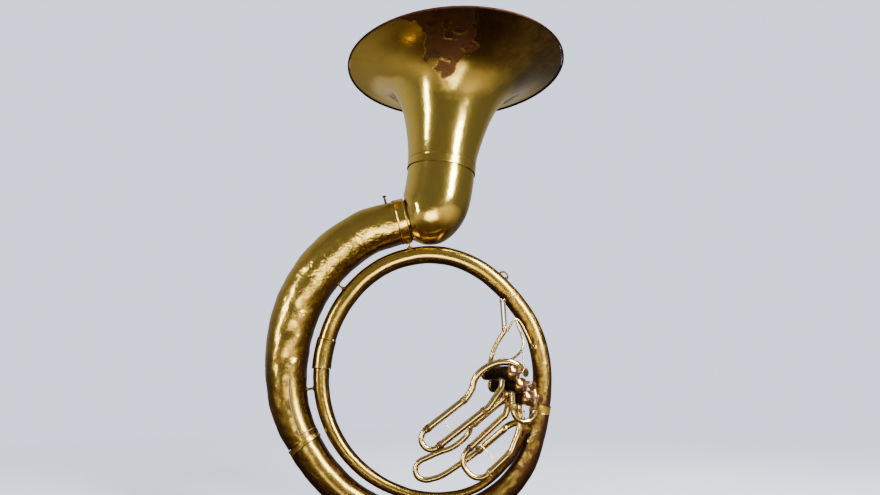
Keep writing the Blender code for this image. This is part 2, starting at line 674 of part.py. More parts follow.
def leadpipe():
    axis = (RECEIVER_TOP - RECEIVER_FOOT).normalized()
    length = (RECEIVER_TOP - RECEIVER_FOOT).length
    turned("receiver", RECEIVER_FOOT, axis,
           [(0.0046, 0), (0.0064, 0), (0.0067, length - 0.0050), (0.0076, length - 0.0040),
            (0.0076, length), (0.0059, length)], NICKEL, sides=16, up=Vector((0, -1, 0)))
    foot = RECEIVER_FOOT - axis * GAP
    stops = [(0.1372, -0.0355, -0.2230), (0.1445, -0.0370, -0.2032), (0.1561, -0.0395, -0.1824),
             foot - axis * 0.006]
    points = route(port(1, -0.085, 90.0), stops, steps=3) + [foot]
    tube("leadpipe", points, [0.0055] * len(points), BRASS, TUBE_WALL)
    # the stay climbs beside the receiver, then runs down inside the ring to its seat
    centre = spiral_point(12.9, 0.2584)
    toward = Vector((-0.565, -0.812, -0.137)).normalized()
    seat = centre + toward * (0.0229 + 0.0036)
    stay = [(0.1758, -0.0418, -0.1640), (0.1855, -0.0400, -0.1463), (0.1949, -0.0370, -0.1372),
            (0.2073, -0.0330, -0.1463), (0.2202, -0.0295, -0.1710), (0.2301, -0.0275, -0.1922),
            seat]
    rod("leadpipe_stay", [Vector(p) for p in smooth(stay, 2)], 0.0030, BRASS)
    stops = [(0.1571, -0.0500, -0.2354), (0.1765, -0.0485, -0.2322), (0.1897, -0.0470, -0.2258),
             (0.2033, -0.0440, -0.2131), (0.2088, -0.0420, -0.2002), (0.2103, -0.0400, -0.1889),
             (0.2076, -0.0390, -0.1760), (0.2007, -0.0385, -0.1582), (0.1967, -0.0378, -0.1442)]
    path = route(port(1, -0.062, 90.0), stops, steps=2, straight=0.004)
    rod("valve_brace", path, 0.0036, BRASS)
    rod("lyre_socket", [Vector((0.2062, -0.0584, -0.2461)), Vector((0.2076, -0.0578, -0.2410)),
                         Vector((0.2078, -0.0570, -0.2270)), Vector((0.2050, -0.0570, -0.2030))],
        0.0028, NICKEL)


def water_key():
    """Nipple, saddle and sprung lever that let water out of the large branch."""
    angle = -395.0
    row = min(smooth(LARGE_TURN, 8), key=lambda r: abs(r[0] - angle))
    centre = spiral_point(row[0], row[1])
    outward = (centre - RING_CENTRE).normalized()
    along = Vector((0, 1, 0)).cross(outward).normalized()
    if along.z > 0:
        along = -along
    face = (-outward * 0.45 + Vector((0, -0.89, 0))).normalized()
    surface = centre + face * (row[2] / 2 + 0.0010)
    turned("water_nipple", surface, face, [(0.0020, 0), (0.0042, 0), (0.0036, 0.0020),
           (0.0036, 0.0060), (0.0020, 0.0060)], BRASS, sides=10, up=along)
    pivot = surface - along * 0.017 + face * 0.0085
    block("water_saddle", pivot - face * 0.0048, along, face, (0.006, 0.0036, 0.009), BRASS)
    bar = surface - along * 0.011 + face * 0.0088
    block("water_key", bar, along, face, (0.034, 0.0022, 0.0065), BRASS, origin=pivot)


clear_scene()
body_branches()
guard_plate()
stays()
collar()
bell()
for valve_number in (1, 2, 3):
    valve(valve_number)
knuckles()
first_slide()
second_slide()
third_slide()
tuning_slide()
leadpipe()
water_key()
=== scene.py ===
"""Looks for the helicon tuba: round brass tubes with dents and patina, solder seams,
beads, knurled caps and small fittings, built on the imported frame.

Frame: metres, +Z up, -Y towards the valves' buttons, origin under the ring's top.
"""
import math

import bpy
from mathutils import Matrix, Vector, noise

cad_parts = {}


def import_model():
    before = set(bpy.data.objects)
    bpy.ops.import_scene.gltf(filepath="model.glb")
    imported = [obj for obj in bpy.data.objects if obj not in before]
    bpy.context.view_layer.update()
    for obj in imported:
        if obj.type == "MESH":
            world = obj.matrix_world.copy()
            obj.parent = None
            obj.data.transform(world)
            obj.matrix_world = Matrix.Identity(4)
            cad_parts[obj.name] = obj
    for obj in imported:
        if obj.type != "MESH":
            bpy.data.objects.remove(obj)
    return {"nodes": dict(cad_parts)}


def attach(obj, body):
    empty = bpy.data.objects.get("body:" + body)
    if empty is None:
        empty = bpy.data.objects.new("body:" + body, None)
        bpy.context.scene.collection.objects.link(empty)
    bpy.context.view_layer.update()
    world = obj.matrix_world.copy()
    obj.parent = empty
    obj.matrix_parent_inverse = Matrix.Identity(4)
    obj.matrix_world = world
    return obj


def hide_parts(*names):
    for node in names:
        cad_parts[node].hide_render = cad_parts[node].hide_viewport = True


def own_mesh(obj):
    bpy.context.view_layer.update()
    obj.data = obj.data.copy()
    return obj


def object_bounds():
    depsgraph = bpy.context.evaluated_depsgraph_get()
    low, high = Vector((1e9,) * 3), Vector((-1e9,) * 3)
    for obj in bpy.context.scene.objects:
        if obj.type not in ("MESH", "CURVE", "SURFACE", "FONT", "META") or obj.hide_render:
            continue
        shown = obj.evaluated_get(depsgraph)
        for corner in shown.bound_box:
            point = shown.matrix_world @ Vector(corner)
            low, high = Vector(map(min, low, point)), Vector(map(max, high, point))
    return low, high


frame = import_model()
cad_low, cad_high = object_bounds()

# ---------- driving sizes
FRONT = Vector((0, -1, 0))
UP = Vector((0, 0, 1))
RING_CENTRE = Vector((0.0, 0.0, -0.257))
SHEET = 0.0010                    # wall of the conical branches and the bell
TUBE_WALL = 0.0009
COLLAR_CENTRE = Vector((-0.0765, 0.0, 0.1085))
COLLAR_RISE = 14.0                # degrees
COLLAR_HALF = 0.0125
TENON_RADIUS = 0.0530
BRANCH_GAP = 0.0006               # between a branch and what sits on it
FERRULE_RADIUS = 0.0229           # the long curved ferrule on the left
SLIDE_RADIUS = 0.0066
SLEEVE_RADIUS = 0.0078
CASING_RADIUS = 0.0150
CASING_TOP, CASING_BOTTOM = -0.010, -0.098
PISTON_RADIUS = 0.0134
PISTON_TOP, PISTON_BOTTOM = -0.022, -0.079
STEM_END = 0.0205
PORT_GAP = 0.0003                 # between a casing and the tubes that meet it
VALVE_AXIS = Vector((0.640, -0.768, 0.0)).normalized()
VALVE_ACROSS = Vector((0.768, 0.640, 0.0)).normalized()
ROW_ANGLE = math.radians(51.0)
VALVE_ROW = math.cos(ROW_ANGLE) * VALVE_ACROSS - math.sin(ROW_ANGLE) * UP
VALVE_PITCH = 0.036
VALVE_2_TOP = Vector((0.205, -0.0805, -0.2892))
SHARP_ANGLE = math.radians(38.0)
ON_AXIS = 1e-6

# Spiral of the branches, as in the CAD: degrees from +X, distance of the tube's centre
# from the ring's centre, tube diameter and, where it isn't 0, offset along Y.
SMALL_TURN = [
    (-32, 0.2513, 0.0160, -0.0202), (-40, 0.2566, 0.0162, -0.0156),
    (-54, 0.2690, 0.0168, -0.0060), (-70, 0.2790, 0.0185, 0.0),
    (-92, 0.2795, 0.0225, 0.0), (-112, 0.2755, 0.0270, 0.0),
    (-134, 0.2712, 0.0310, 0.0), (-156, 0.2668, 0.0340, 0.0),
    (-172, 0.2645, 0.0372, 0.0), (-185, 0.2635, 0.0395, 0.0),
]
MIDDLE_TURN = [
    (-186, 0.2635, 0.0430), (-199, 0.2643, 0.0440), (-223, 0.2725, 0.0450),
    (-247, 0.2812, 0.0452), (-270, 0.2815, 0.0452), (-287, 0.2751, 0.0452),
    (-314, 0.2600, 0.0455), (-338, 0.2578, 0.0458), (-364, 0.2588, 0.0462),
    (-378, 0.2640, 0.0464),
]
LARGE_TURN = [
    (-379, 0.2645, 0.0466), (-392, 0.2780, 0.0475), (-406, 0.2985, 0.0510),
    (-425, 0.3165, 0.0560), (-450, 0.3290, 0.0640), (-474, 0.3355, 0.0680),
    (-494, 0.3360, 0.0720), (-511, 0.3375, 0.0775),
]
BELL_TURN = [
    (-512, 0.3378, 0.0780), (-524, 0.3426, 0.0868), (-536, 0.3457, 0.0940),
    (-548, 0.3495, 0.1030), (-560, 0.3560, 0.1090), (-572, 0.3640, 0.1145),
    (-589, 0.3715, 0.1165), (-606, 0.3762, 0.1130),
]
# Bell, as in the CAD: x, z, diameter and lean of the section's axis from +X.
ELBOW = [
    (-0.0550, 0.1115, 0.1170, 18.0), (-0.0455, 0.1105, 0.1330, 26.0),
    (-0.0270, 0.1165, 0.1550, 39.0), (-0.0060, 0.1375, 0.1670, 54.0),
    (0.0088, 0.1695, 0.1715, 69.0), (0.0175, 0.2160, 0.1710, 82.0),
    (0.0205, 0.2480, 0.1720, 84.0),
]
FLARE = [
    (0.0207, 0.2486, 0.1720, 84.0), (0.0240, 0.2900, 0.1790, 84.0), (0.0293, 0.3387, 0.1985, 84.5),
    (0.0350, 0.3900, 0.2280, 85.5), (0.0400, 0.4300, 0.2640, 87.0), (0.0460, 0.4650, 0.3160, 88.5),
    (0.0515, 0.4930, 0.3900, 90.0), (0.0550, 0.5100, 0.4650, 91.0), (0.0578, 0.5210, 0.5540, 91.8),
]


# ---------- small mathematics
def clamp(x, low=0.0, high=1.0):
    return max(low, min(high, x))


def ramp(x, start, end):
    """Smooth step from 0 at start to 1 at end."""
    t = clamp((x - start) / (end - start))
    return t * t * (3 - 2 * t)


def smooth(points, steps):
    """Catmull-Rom curve through rows of numbers, with `steps` spans per interval."""
    rows = [list(p) for p in points]
    first = [2 * a - b for a, b in zip(rows[0], rows[1])]
    last = [2 * a - b for a, b in zip(rows[-1], rows[-2])]
    rows = [first] + rows + [last]
    out = []
    for i in range(1, len(rows) - 2):
        p0, p1, p2, p3 = rows[i - 1:i + 3]
        for k in range(steps):
            t = k / steps
            out.append([
                0.5 * (2 * b + (c - a) * t + (2 * a - 5 * b + 4 * c - d) * t ** 2
                       + (3 * b - a - 3 * c + d) * t ** 3)
                for a, b, c, d in zip(p0, p1, p2, p3)
            ])
    out.append(rows[-2])
    return out


def smooth_path(points, steps):
    return [Vector(p) for p in smooth(points, steps)]


def spiral_point(degrees, distance, offset=0.0):
    angle = math.radians(degrees)
    return RING_CENTRE + Vector((distance * math.cos(angle), offset, distance * math.sin(angle)))


def tangents(points):
    last = len(points) - 1
    return [(points[min(i + 1, last)] - points[max(i - 1, 0)]).normalized() for i in range(last + 1)]


def collar_axis():
    rise = math.radians(COLLAR_RISE)
    return Vector((math.cos(rise), 0, math.sin(rise)))


def bell_section(row):
    """Centre, direction and radius of the bell at a row of ELBOW or FLARE."""
    x, z, diameter, lean = row
    lean = math.radians(lean)
    return Vector((x, 0, z)), Vector((math.cos(lean), 0, math.sin(lean))), diameter / 2


# ---------- materials
class Nodes:
    """A node tree, with short calls for the nodes that the materials and the world share."""

    def __init__(self, owner):
        self.owner = owner
        owner.use_nodes = True
        self.tree = owner.node_tree
        self.shader = self.tree.nodes.get("Principled BSDF")
        self.coordinates = self.add("TexCoord").outputs
        self.place = self.coordinates["Object"]

    def add(self, kind, inputs=(), **settings):
        node = self.tree.nodes.new(f"ShaderNode{kind}")
        for key, value in settings.items():
            setattr(node, key, value)
        self.fill(node, inputs)
        return node

    def fill(self, node, inputs):
        """Each input takes a number, a colour, a vector, a socket or a node's first output."""
        for key, value in dict(inputs).items():
            socket = node.inputs[key]
            if isinstance(value, bpy.types.Node):
                value = value.outputs[0]
            if isinstance(value, bpy.types.NodeSocket):
                self.tree.links.new(value, socket)
            elif socket.type == "RGBA":
                socket.default_value = (*value, 1.0)
            else:
                socket.default_value = value

    def noise(self, scale, detail=4.0, rough=0.55, stretch=None, distortion=0.0):
        place = self.place
        if stretch:
            place = self.add("Mapping", {"Vector": place, "Scale": stretch})
        return self.add("TexNoise", {"Vector": place, "Scale": scale, "Detail": detail,
                                     "Roughness": rough, "Distortion": distortion}).outputs["Fac"]

    def attribute(self, name):
        return self.add("Attribute", attribute_name=name).outputs["Fac"]

    def math(self, operation, a, b=0.0):
        return self.add("Math", {0: a, 1: b}, operation=operation)

    def plus(self, a, b):
        return self.math("ADD", a, b)

    def times(self, a, b):
        return self.math("MULTIPLY", a, b)

    def span(self, value, low, high, out_low=0.0, out_high=1.0):
        """Smooth change of value's range low to high into out_low to out_high."""
        return self.add("MapRange", {"Value": value, "From Min": low, "From Max": high,
                                     "To Min": out_low, "To Max": out_high},
                        interpolation_type="SMOOTHSTEP").outputs["Result"]

    def mix(self, factor, a, b):
        return self.add("Mix", {"Factor": factor, "A": a, "B": b}, data_type="RGBA").outputs["Result"]

    def bump(self, height, distance, below=None):
        inputs = {"Height": height, "Distance": distance}
        if below is not None:
            inputs["Normal"] = below
        return self.add("Bump", inputs)

    def by_ray(self, seen, mirrored):
        """One shader for the camera and diffuse light, another for what the metal mirrors."""
        glossy = self.add("LightPath").outputs["Is Glossy Ray"]
        return self.add("MixShader", {"Fac": glossy, 1: seen, 2: mirrored})


# painted shade: the deep brown that the mesh's shade value mixes into brass
PAINTED_SHADE_BROWN = (0.085, 0.045, 0.012)
FLECK = (0.20, 0.10, 0.03)
BROWN_STAIN = (0.058, 0.019, 0.008)
BLACK_STAIN = (0.014, 0.007, 0.004)


def worn_brass(name, bright, dull, rough_low, rough_high, wave=0.0):
    """Brass whose patina follows the mesh's values. With grime it goes from bright metal
    through an olive film to ragged brown and nearly black stains; on some pieces grime also
    carries painted shade. Shade is painted shade: an even, deep brown mixed in where the
    mesh's values darken a surface as if it lay in shade. Crumple raises sharp creases."""
    n = Nodes(bpy.data.materials.new(name))
    cloud = n.noise(11.0, 5.0, 0.6, distortion=0.6)
    blotch = n.noise(46.0, 8.0, 0.62, distortion=0.4)
    speck = n.noise(520.0, 3.0, 0.6)
    scratch = n.noise(90.0, 4.0, 0.7, stretch=(1.0, 7.0, 1.6))
    crease = n.noise(58.0, 3.0, 0.55, distortion=1.4)
    uneven = n.plus(n.times(cloud, 0.55), n.times(blotch, 0.45))
    level = n.plus(n.attribute("grime"), n.math("SUBTRACT", uneven, 0.5))
    film = n.span(level, 0.10, 0.48)
    brown = n.span(level, 0.46, 0.60)
    black = n.span(level, 0.74, 0.92)
    fleck = n.span(n.plus(speck, n.times(level, 0.25)), 0.70, 0.80)
    # painted shade, as strong as the mesh's shade value
    painted_shade = n.times(n.attribute("shade"), n.span(uneven, 0.30, 0.62, 0.86, 1.0))
    colour = n.mix(film, bright, dull)
    colour = n.mix(painted_shade, colour, PAINTED_SHADE_BROWN)
    colour = n.mix(n.times(fleck, 0.55), colour, FLECK)
    colour = n.mix(n.times(brown, 0.92), colour, BROWN_STAIN)
    colour = n.mix(black, colour, BLACK_STAIN)
    rough = n.plus(n.span(level, 0.0, 0.85, rough_low, rough_high),
                   n.times(n.span(scratch, 0.45, 0.75), 0.06))
    waves = n.bump(n.noise(34.0, 2.0, 0.5), wave)
    creases = n.bump(n.times(crease, n.attribute("crumple")), 0.0026, waves)
    stain = n.times(brown, n.noise(150.0, 6.0, 0.65, distortion=0.8))
    scale = n.bump(stain, 0.0016, creases)
    pits = n.bump(n.plus(blotch, n.times(speck, 0.35)), 0.00012, scale)
    n.fill(n.shader, {"Base Color": colour, "Metallic": n.span(brown, 0.0, 1.0, 1.0, 0.93),
                      "Roughness": n.plus(rough, n.times(fleck, 0.12)),
                      "Normal": n.bump(scratch, 0.00006, pits)})
    return n.owner


def plain_metal(name, colour, shade, rough_low, rough_high):
    """Plated or drawn metal with handling marks."""
    n = Nodes(bpy.data.materials.new(name))
    blotch = n.noise(120.0, 5.0, 0.6)
    scratch = n.noise(260.0, 4.0, 0.7, stretch=(1.0, 1.0, 6.0))
    level = n.plus(n.attribute("grime"), n.math("SUBTRACT", blotch, 0.5))
    rough = n.span(n.plus(level, n.times(scratch, 0.4)), 0.1, 0.9, rough_low, rough_high)
    n.fill(n.shader, {"Base Color": n.mix(n.span(level, 0.1, 0.6), colour, shade), "Metallic": 1.0,
                      "Roughness": rough, "Normal": n.bump(n.plus(blotch, scratch), 0.00005)})
    return n.owner


def soft_material(name, colour, shade):
    """Cork or felt: a matt, grainy surface."""
    n = Nodes(bpy.data.materials.new(name))
    grain = n.noise(1400.0, 6.0, 0.7)
    n.fill(n.shader, {"Base Color": n.mix(n.span(grain, 0.35, 0.65), colour, shade),
                      "Metallic": 0.0, "Roughness": 0.85, "Normal": n.bump(grain, 0.0002)})
    return n.owner


# A skin is a material and the name of a slot.
OLD_BRASS = worn_brass("old_brass", (0.91, 0.64, 0.125), (0.57, 0.37, 0.062), 0.15, 0.38,
                       wave=0.0004), "brass"
BELL_BRASS = worn_brass("bell_brass", (0.92, 0.67, 0.135), (0.60, 0.415, 0.075), 0.13, 0.34,
                        wave=0.0002), "brass"
SLIDE_BRASS = worn_brass("slide_brass", (0.93, 0.72, 0.28), (0.66, 0.45, 0.13), 0.13, 0.36), "brass"
BROWN_BRASS = worn_brass("brown_brass", (0.34, 0.20, 0.07), (0.14, 0.07, 0.022),
                         0.24, 0.46), "dark_brass"
CAP_BRASS = worn_brass("cap_brass", (0.74, 0.44, 0.16), (0.30, 0.15, 0.045), 0.12, 0.36), "dark_brass"
NICKEL = plain_metal("nickel_silver", (0.76, 0.74, 0.68), (0.42, 0.38, 0.30), 0.12, 0.38), "nickel"
SOLDER = plain_metal("tin_solder", (0.58, 0.56, 0.50), (0.30, 0.26, 0.18), 0.28, 0.5), "brass"
STEEL = plain_metal("spring_wire", (0.52, 0.52, 0.53), (0.25, 0.22, 0.20), 0.2, 0.45), "spring_steel"
CORK = soft_material("cork", (0.42, 0.24, 0.11), (0.22, 0.11, 0.045)), "brass"
FELT = soft_material("felt", (0.11, 0.035, 0.02), (0.05, 0.018, 0.012)), "dark_brass"


# ---------- mesh building
def add_piece(name, verts, faces, skin, body="body", slot=None, grime=0.15, crumple=0.05, shade=0.0):
    """One mesh on one body, standing for the CAD node of its name if there is one. grime,
    crumple and shade are numbers, or functions of a vertex's place and normal."""
    material, usual_slot = skin
    mesh = bpy.data.meshes.new(name)
    mesh.from_pydata([tuple(v) for v in verts], [], faces)
    mesh.validate()
    mesh.shade_smooth()
    mesh.set_sharp_from_angle(angle=SHARP_ANGLE)
    mesh.materials.append(material)
    for label, wear in (("grime", grime), ("crumple", crumple), ("shade", shade)):
        values = [wear(v.co, v.normal) if callable(wear) else wear for v in mesh.vertices]
        mesh.attributes.new(label, "FLOAT", "POINT").data.foreach_set("value", values)
    piece = bpy.data.objects.new(name, mesh)
    bpy.context.scene.collection.objects.link(piece)
    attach(piece, body)
    if name in frame["nodes"]:
        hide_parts(name)
    return piece


def angles(count):
    return [2 * math.pi * k / count for k in range(count)]


def around(along, up, sides):
    """Outward directions of a section across `along`."""
    across = along.cross(up).normalized()
    over = along.cross(across).normalized()
    return [across * math.cos(a) + over * math.sin(a) for a in angles(sides)]


def lofted_faces(rings, sides, closed):
    faces = []
    for i in range(rings if closed else rings - 1):
        j = (i + 1) % rings
        for k in range(sides):
            m = (k + 1) % sides
            faces.append((i * sides + k, i * sides + m, j * sides + m, j * sides + k))
    return faces


def tube(name, points, radii, skin, wall=TUBE_WALL, sides=24, up=FRONT, along=None, relief=None,
         **words):
    """Hollow tube with rounded lips. relief(place) moves the wall in or out."""
    along = along or tangents(points)
    rings = []
    for centre, direction, radius in zip(points, along, radii):
        rings.append([(centre, out, radius + (relief(centre + out * radius) if relief else 0.0))
                      for out in around(direction, up, sides)])
    outer = [[c + o * r for c, o, r in ring] for ring in rings]
    inner = [[c + o * (r - wall) for c, o, r in ring] for ring in rings]
    lip_start = [c + o * (r - wall / 2) - along[0] * wall * 0.4 for c, o, r in rings[0]]
    lip_end = [c + o * (r - wall / 2) + along[-1] * wall * 0.4 for c, o, r in rings[-1]]
    loops = outer + [lip_end] + inner[::-1] + [lip_start]
    verts = [v for loop in loops for v in loop]
    return add_piece(name, verts, lofted_faces(len(loops), sides, True), skin, **words)


def rod(name, points, radii, skin, sides=12, up=FRONT, **words):
    """Solid bar with domed ends. radii is one number or a list."""
    if not isinstance(radii, list):
        radii = [radii] * len(points)
    directions = tangents(points)
    stations = [(points[0] - directions[0] * radii[0] * 0.45, radii[0] * 0.6), *zip(points, radii),
                (points[-1] + directions[-1] * radii[-1] * 0.45, radii[-1] * 0.6)]
    directions = [directions[0]] + directions + [directions[-1]]
    verts = [centre + out * size for (centre, size), direction in zip(stations, directions)
             for out in around(direction, up, sides)]
    faces = lofted_faces(len(stations), sides, False)
    for first, place in ((0, stations[0]), ((len(stations) - 1) * sides, stations[-1])):
        tip = len(verts)
        verts.append(place[0])
        loop = [first + k for k in range(sides)]
        pairs = zip(loop, loop[1:] + loop[:1])
        faces += [(b, a, tip) if first == 0 else (a, b, tip) for a, b in pairs]
    return add_piece(name, verts, faces, skin, **words)


def round_corners(profile, size, closed):
    """Each corner of a (radius, height) outline becomes a short curve."""
    count = len(profile)
    out = []
    for i, point in enumerate(profile):
        if point[0] < ON_AXIS or (not closed and i in (0, count - 1)):
            out.append(point)
            continue
        corner = Vector(point)
        before, after = Vector(profile[i - 1]), Vector(profile[(i + 1) % count])
        start = corner + (before - corner) * min(size / (before - corner).length, 0.42)
        end = corner + (after - corner) * min(size / (after - corner).length, 0.42)
        for t in (0.0, 0.5, 1.0):
            p = start * (1 - t) ** 2 + corner * 2 * t * (1 - t) + end * t ** 2
            out.append((p.x, p.y))
    return out


def turned(name, base, axis, profile, skin, sides=32, soften=0.0004, knurl=None, **words):
    """Solid of revolution. knurl is (lowest, highest, ridges, depth) along the axis."""
    axis = axis.normalized()
    outwards = around(axis, UP if abs(axis.dot(FRONT)) > 0.95 else FRONT, sides)
    open_profile = profile[0][0] < ON_AXIS
    rings, verts = [], []
    for radius, height in round_corners(profile, soften, not open_profile):
        centre = base + axis * height
        if radius < ON_AXIS:
            rings.append([len(verts)])
            verts.append(centre)
            continue
        rings.append(range(len(verts), len(verts) + sides))
        for k, out in enumerate(outwards):
            size = radius
            if knurl and knurl[0] <= height <= knurl[1]:
                size += knurl[3] * (abs(math.cos(knurl[2] * math.pi * k / sides)) - 1)
            verts.append(centre + out * size)
    pairs = list(zip(rings, rings[1:]))
    if not open_profile:
        pairs.append((rings[-1], rings[0]))
    faces = []
    for low, high in pairs:
        for k in range(sides):
            m = (k + 1) % sides
            if len(low) == 1:
                faces.append((low[0], high[m], high[k]))
            elif len(high) == 1:
                faces.append((low[k], low[m], high[0]))
            else:
                faces.append((low[k], low[m], high[m], high[k]))
    return add_piece(name, verts, faces, skin, **words)


def ball(name, centre, axis, radius, height, skin, **words):
    """Flattened drop of solder or a domed knob, sitting on its base."""
    arc = [math.pi / 2 * k / 6 for k in range(6)]
    profile = [(0, -radius * 0.3)] + [(radius * math.cos(a), height * math.sin(a)) for a in arc]
    turned(name, centre, axis, profile + [(0, height)], skin, sides=16, soften=0.0, **words)


# ---------- wear
def dents(amount, size, marks=(), inset=0.0):
    """Relief of hand-worn sheet: broad waves, small crumples and single dents. A mark is
    (place, width, depth). inset draws the whole wall in."""
    def relief(place):
        wave = noise.noise(place / size) * amount
        crumple = noise.noise(place / (size * 0.34) + Vector((7.1, 3.3, 9.2))) * amount * 0.38
        dip = 0.0
        for spot, width, depth in marks:
            away = (place - spot).length / width
            if away < 2.5:
                dip += depth * math.exp(-away * away)
        return wave + crumple - dip - inset
    return relief


def ring_side(place, normal):
    """From -1 on a branch's inner edge to 1 on its outer edge."""
    return (place - RING_CENTRE).normalized().dot(normal)


def ring_shade(outside):
    """Painted shade: darker towards a branch's inner and outer edges, and more so low down.
    outside is its strength on the outer edge at the top."""
    def shade(place, normal):
        side = ring_side(place, normal)
        low = ramp(-place.z, 0.0, 0.34)
        inner = 0.92 * ramp(-side, 0.15, 0.90)
        outer = (outside + (0.92 - outside) * low) * ramp(side, 0.30 - 0.45 * low, 0.92)
        return clamp(inner + outer + 0.25 * low)
    return shade


def flare_polar(place):
    """Distance from the flare's axis, and degrees from its right towards its front."""
    arm = place - Vector((FLARE[-1][0], 0.0, place.z))
    return arm.length, math.degrees(math.atan2(-arm.y, arm.x))


def flare_shade(place, normal):
    """Painted shade: dark on the flare's front and right, light on its left, fading into the throat."""
    radius, degrees = flare_polar(place)
    outer = ramp(radius, 0.095, 0.175)
    edge = ramp(radius, 0.20, 0.277)
    front = ramp(degrees, -60.0, 0.0) * (1 - ramp(degrees, 92.0, 128.0))
    return clamp(outer * (0.12 + 0.82 * front) + 0.22 * edge)


def ring_grime_and_shade(place, normal):
    """More patina low down, and painted shade: darker on surfaces that face down and on the
    branches' inner and outer edges. A duller film on the ring's right and lower down.
    """
    low = ramp(-place.z, 0.16, 0.48)
    # painted shade on faces turned down
    under = clamp(0.30 - normal.z)
    side = ring_side(place, normal)
    # painted shade on the branches' inner and outer edges
    edges = 0.26 * clamp(-side) ** 2 + 0.22 * clamp(side) ** 3 * ramp(-place.z, -0.05, 0.20)
    dulled = 0.20 * ramp(place.x, 0.02, 0.22) + 0.16 * ramp(-place.z, -0.06, 0.10)
    return 0.09 + 0.30 * low * under + 0.12 * under + edges + dulled


def branch_crumple(place, normal):
    """The bell branch's front is beaten and creased from its top down to half height."""
    worn = ramp(place.z, -0.16, 0.02) * (1 - ramp(place.z, 0.085, 0.125))
    front = ramp(-place.y, 0.010, 0.040)
    inner = ramp(-ring_side(place, normal), -0.55, 0.0)
    return 0.05 + 0.60 * worn * front * inner + 0.16 * ramp(place.z, -0.35, -0.16) * front


def flare_stains_and_shade(place, normal):
    """Dark red-brown stains on the flare's front, from the throat's edge to the rim, and
    painted shade: a duller film across the front and right outside the stains.
    """
    radius, degrees = flare_polar(place)
    ragged = noise.noise(place * 16.0) + 0.4 * noise.noise(place * 55.0)
    outer = ramp(radius + 0.035 * ragged, 0.135, 0.165)
    patch = ramp(degrees + 20.0 * ragged, 78.0, 90.0)
    patch *= 1 - ramp(degrees + 16.0 * ragged, 112.0, 122.0)
    # painted shade on the front and right, as a duller film
    front = ramp(degrees, -30.0, 20.0) * (1 - ramp(degrees, 84.0, 116.0))
    return 0.10 + 0.66 * outer * patch + 0.22 * outer * front * (1 - patch)


def edge_grime(base, places, reach, strength=0.7):
    """Grime function with dark lines near each of the given places along an axis."""
    def grime(place, normal):
        value = base
        for centre, axis in places:
            away = abs((place - centre).dot(axis)) / reach
            value += strength * math.exp(-away * away)
        return value
    return grime


# ---------- ring
def spiral(turn, steps):
    """Centres and radii along a branch."""
    rows = smooth(turn, steps)
    return [spiral_point(a, r, *y) for a, r, _, *y in rows], [row[2] / 2 for row in rows]


def branches():
    for name, turn, sides, relief in (
            ("small_branch", SMALL_TURN, 40, dents(0.0005, 0.03)),
            ("middle_branch", MIDDLE_TURN, 56, dents(0.0006, 0.035, inset=0.0006)),
            ("large_branch", LARGE_TURN, 64, dents(0.0010, 0.04))):
        points, radii = spiral(turn, 14)
        tube(name, points, radii, OLD_BRASS, SHEET, sides, relief=relief, grime=ring_grime_and_shade,
             crumple=0.10, shade=ring_shade(0.75))


def bell_branch():
    """Widens along the ring, then straightens and narrows into the collar."""
    points, radii = spiral(BELL_TURN, 16)
    along = collar_axis()
    tail = smooth_path([points[-2], points[-1], COLLAR_CENTRE - along * 0.0145,
                        COLLAR_CENTRE - along * 0.0010], 6)[7:]
    steps = len(tail)
    first = radii[-1]
    narrower = TENON_RADIUS + 0.0006 - first
    radii += [first + narrower * ramp(k / steps, 0.0, 0.85) for k in range(1, steps)]
    radii.append(TENON_RADIUS)
    points += tail
    directions = tangents(points)
    directions[-1] = along
    marks = [(spiral_point(*place), width, depth) for place, width, depth in (
        ((-566, 0.330, -0.048), 0.022, 0.0022), ((-577, 0.345, -0.050), 0.018, 0.0018),
        ((-584, 0.340, -0.046), 0.014, 0.0016), ((-556, 0.345, -0.050), 0.020, 0.0016),
        ((-546, 0.325, -0.043), 0.012, 0.0012), ((-529, 0.330, -0.040), 0.014, 0.0012))]
    tube("bell_branch", points, radii, OLD_BRASS, SHEET, 96, along=directions,
         relief=dents(0.0016, 0.034, marks), grime=ring_grime_and_shade, crumple=branch_crumple,
         shade=ring_shade(0.25))


def both_ends(centre, along, half):
    return [(centre + along * half, along), (centre - along * half, along)]


def beaded(inside, out, edge, half, width):
    """Outline of a sleeve with a bead of some width at each end."""
    bead = out + edge
    steps = [(out, 0), (bead, 0.0008), (bead, width), (out, width + 0.0010)]
    return [(inside, -half)] + [(r, h - half) for r, h in steps] + [
        (r, half - h) for r, h in steps[::-1]] + [(inside, half)]


def band(name, centre, along, inside, length, edge, thick, skin=OLD_BRASS, base_grime=0.30, **words):
    """Sleeve with a bead at each end and dark solder lines beside them."""
    turned(name, centre, along, beaded(inside, inside + thick, edge, length / 2, 0.0018), skin,
           sides=96, soften=0.0003,
           grime=edge_grime(base_grime, both_ends(centre, along, length / 2), 0.0016), **words)


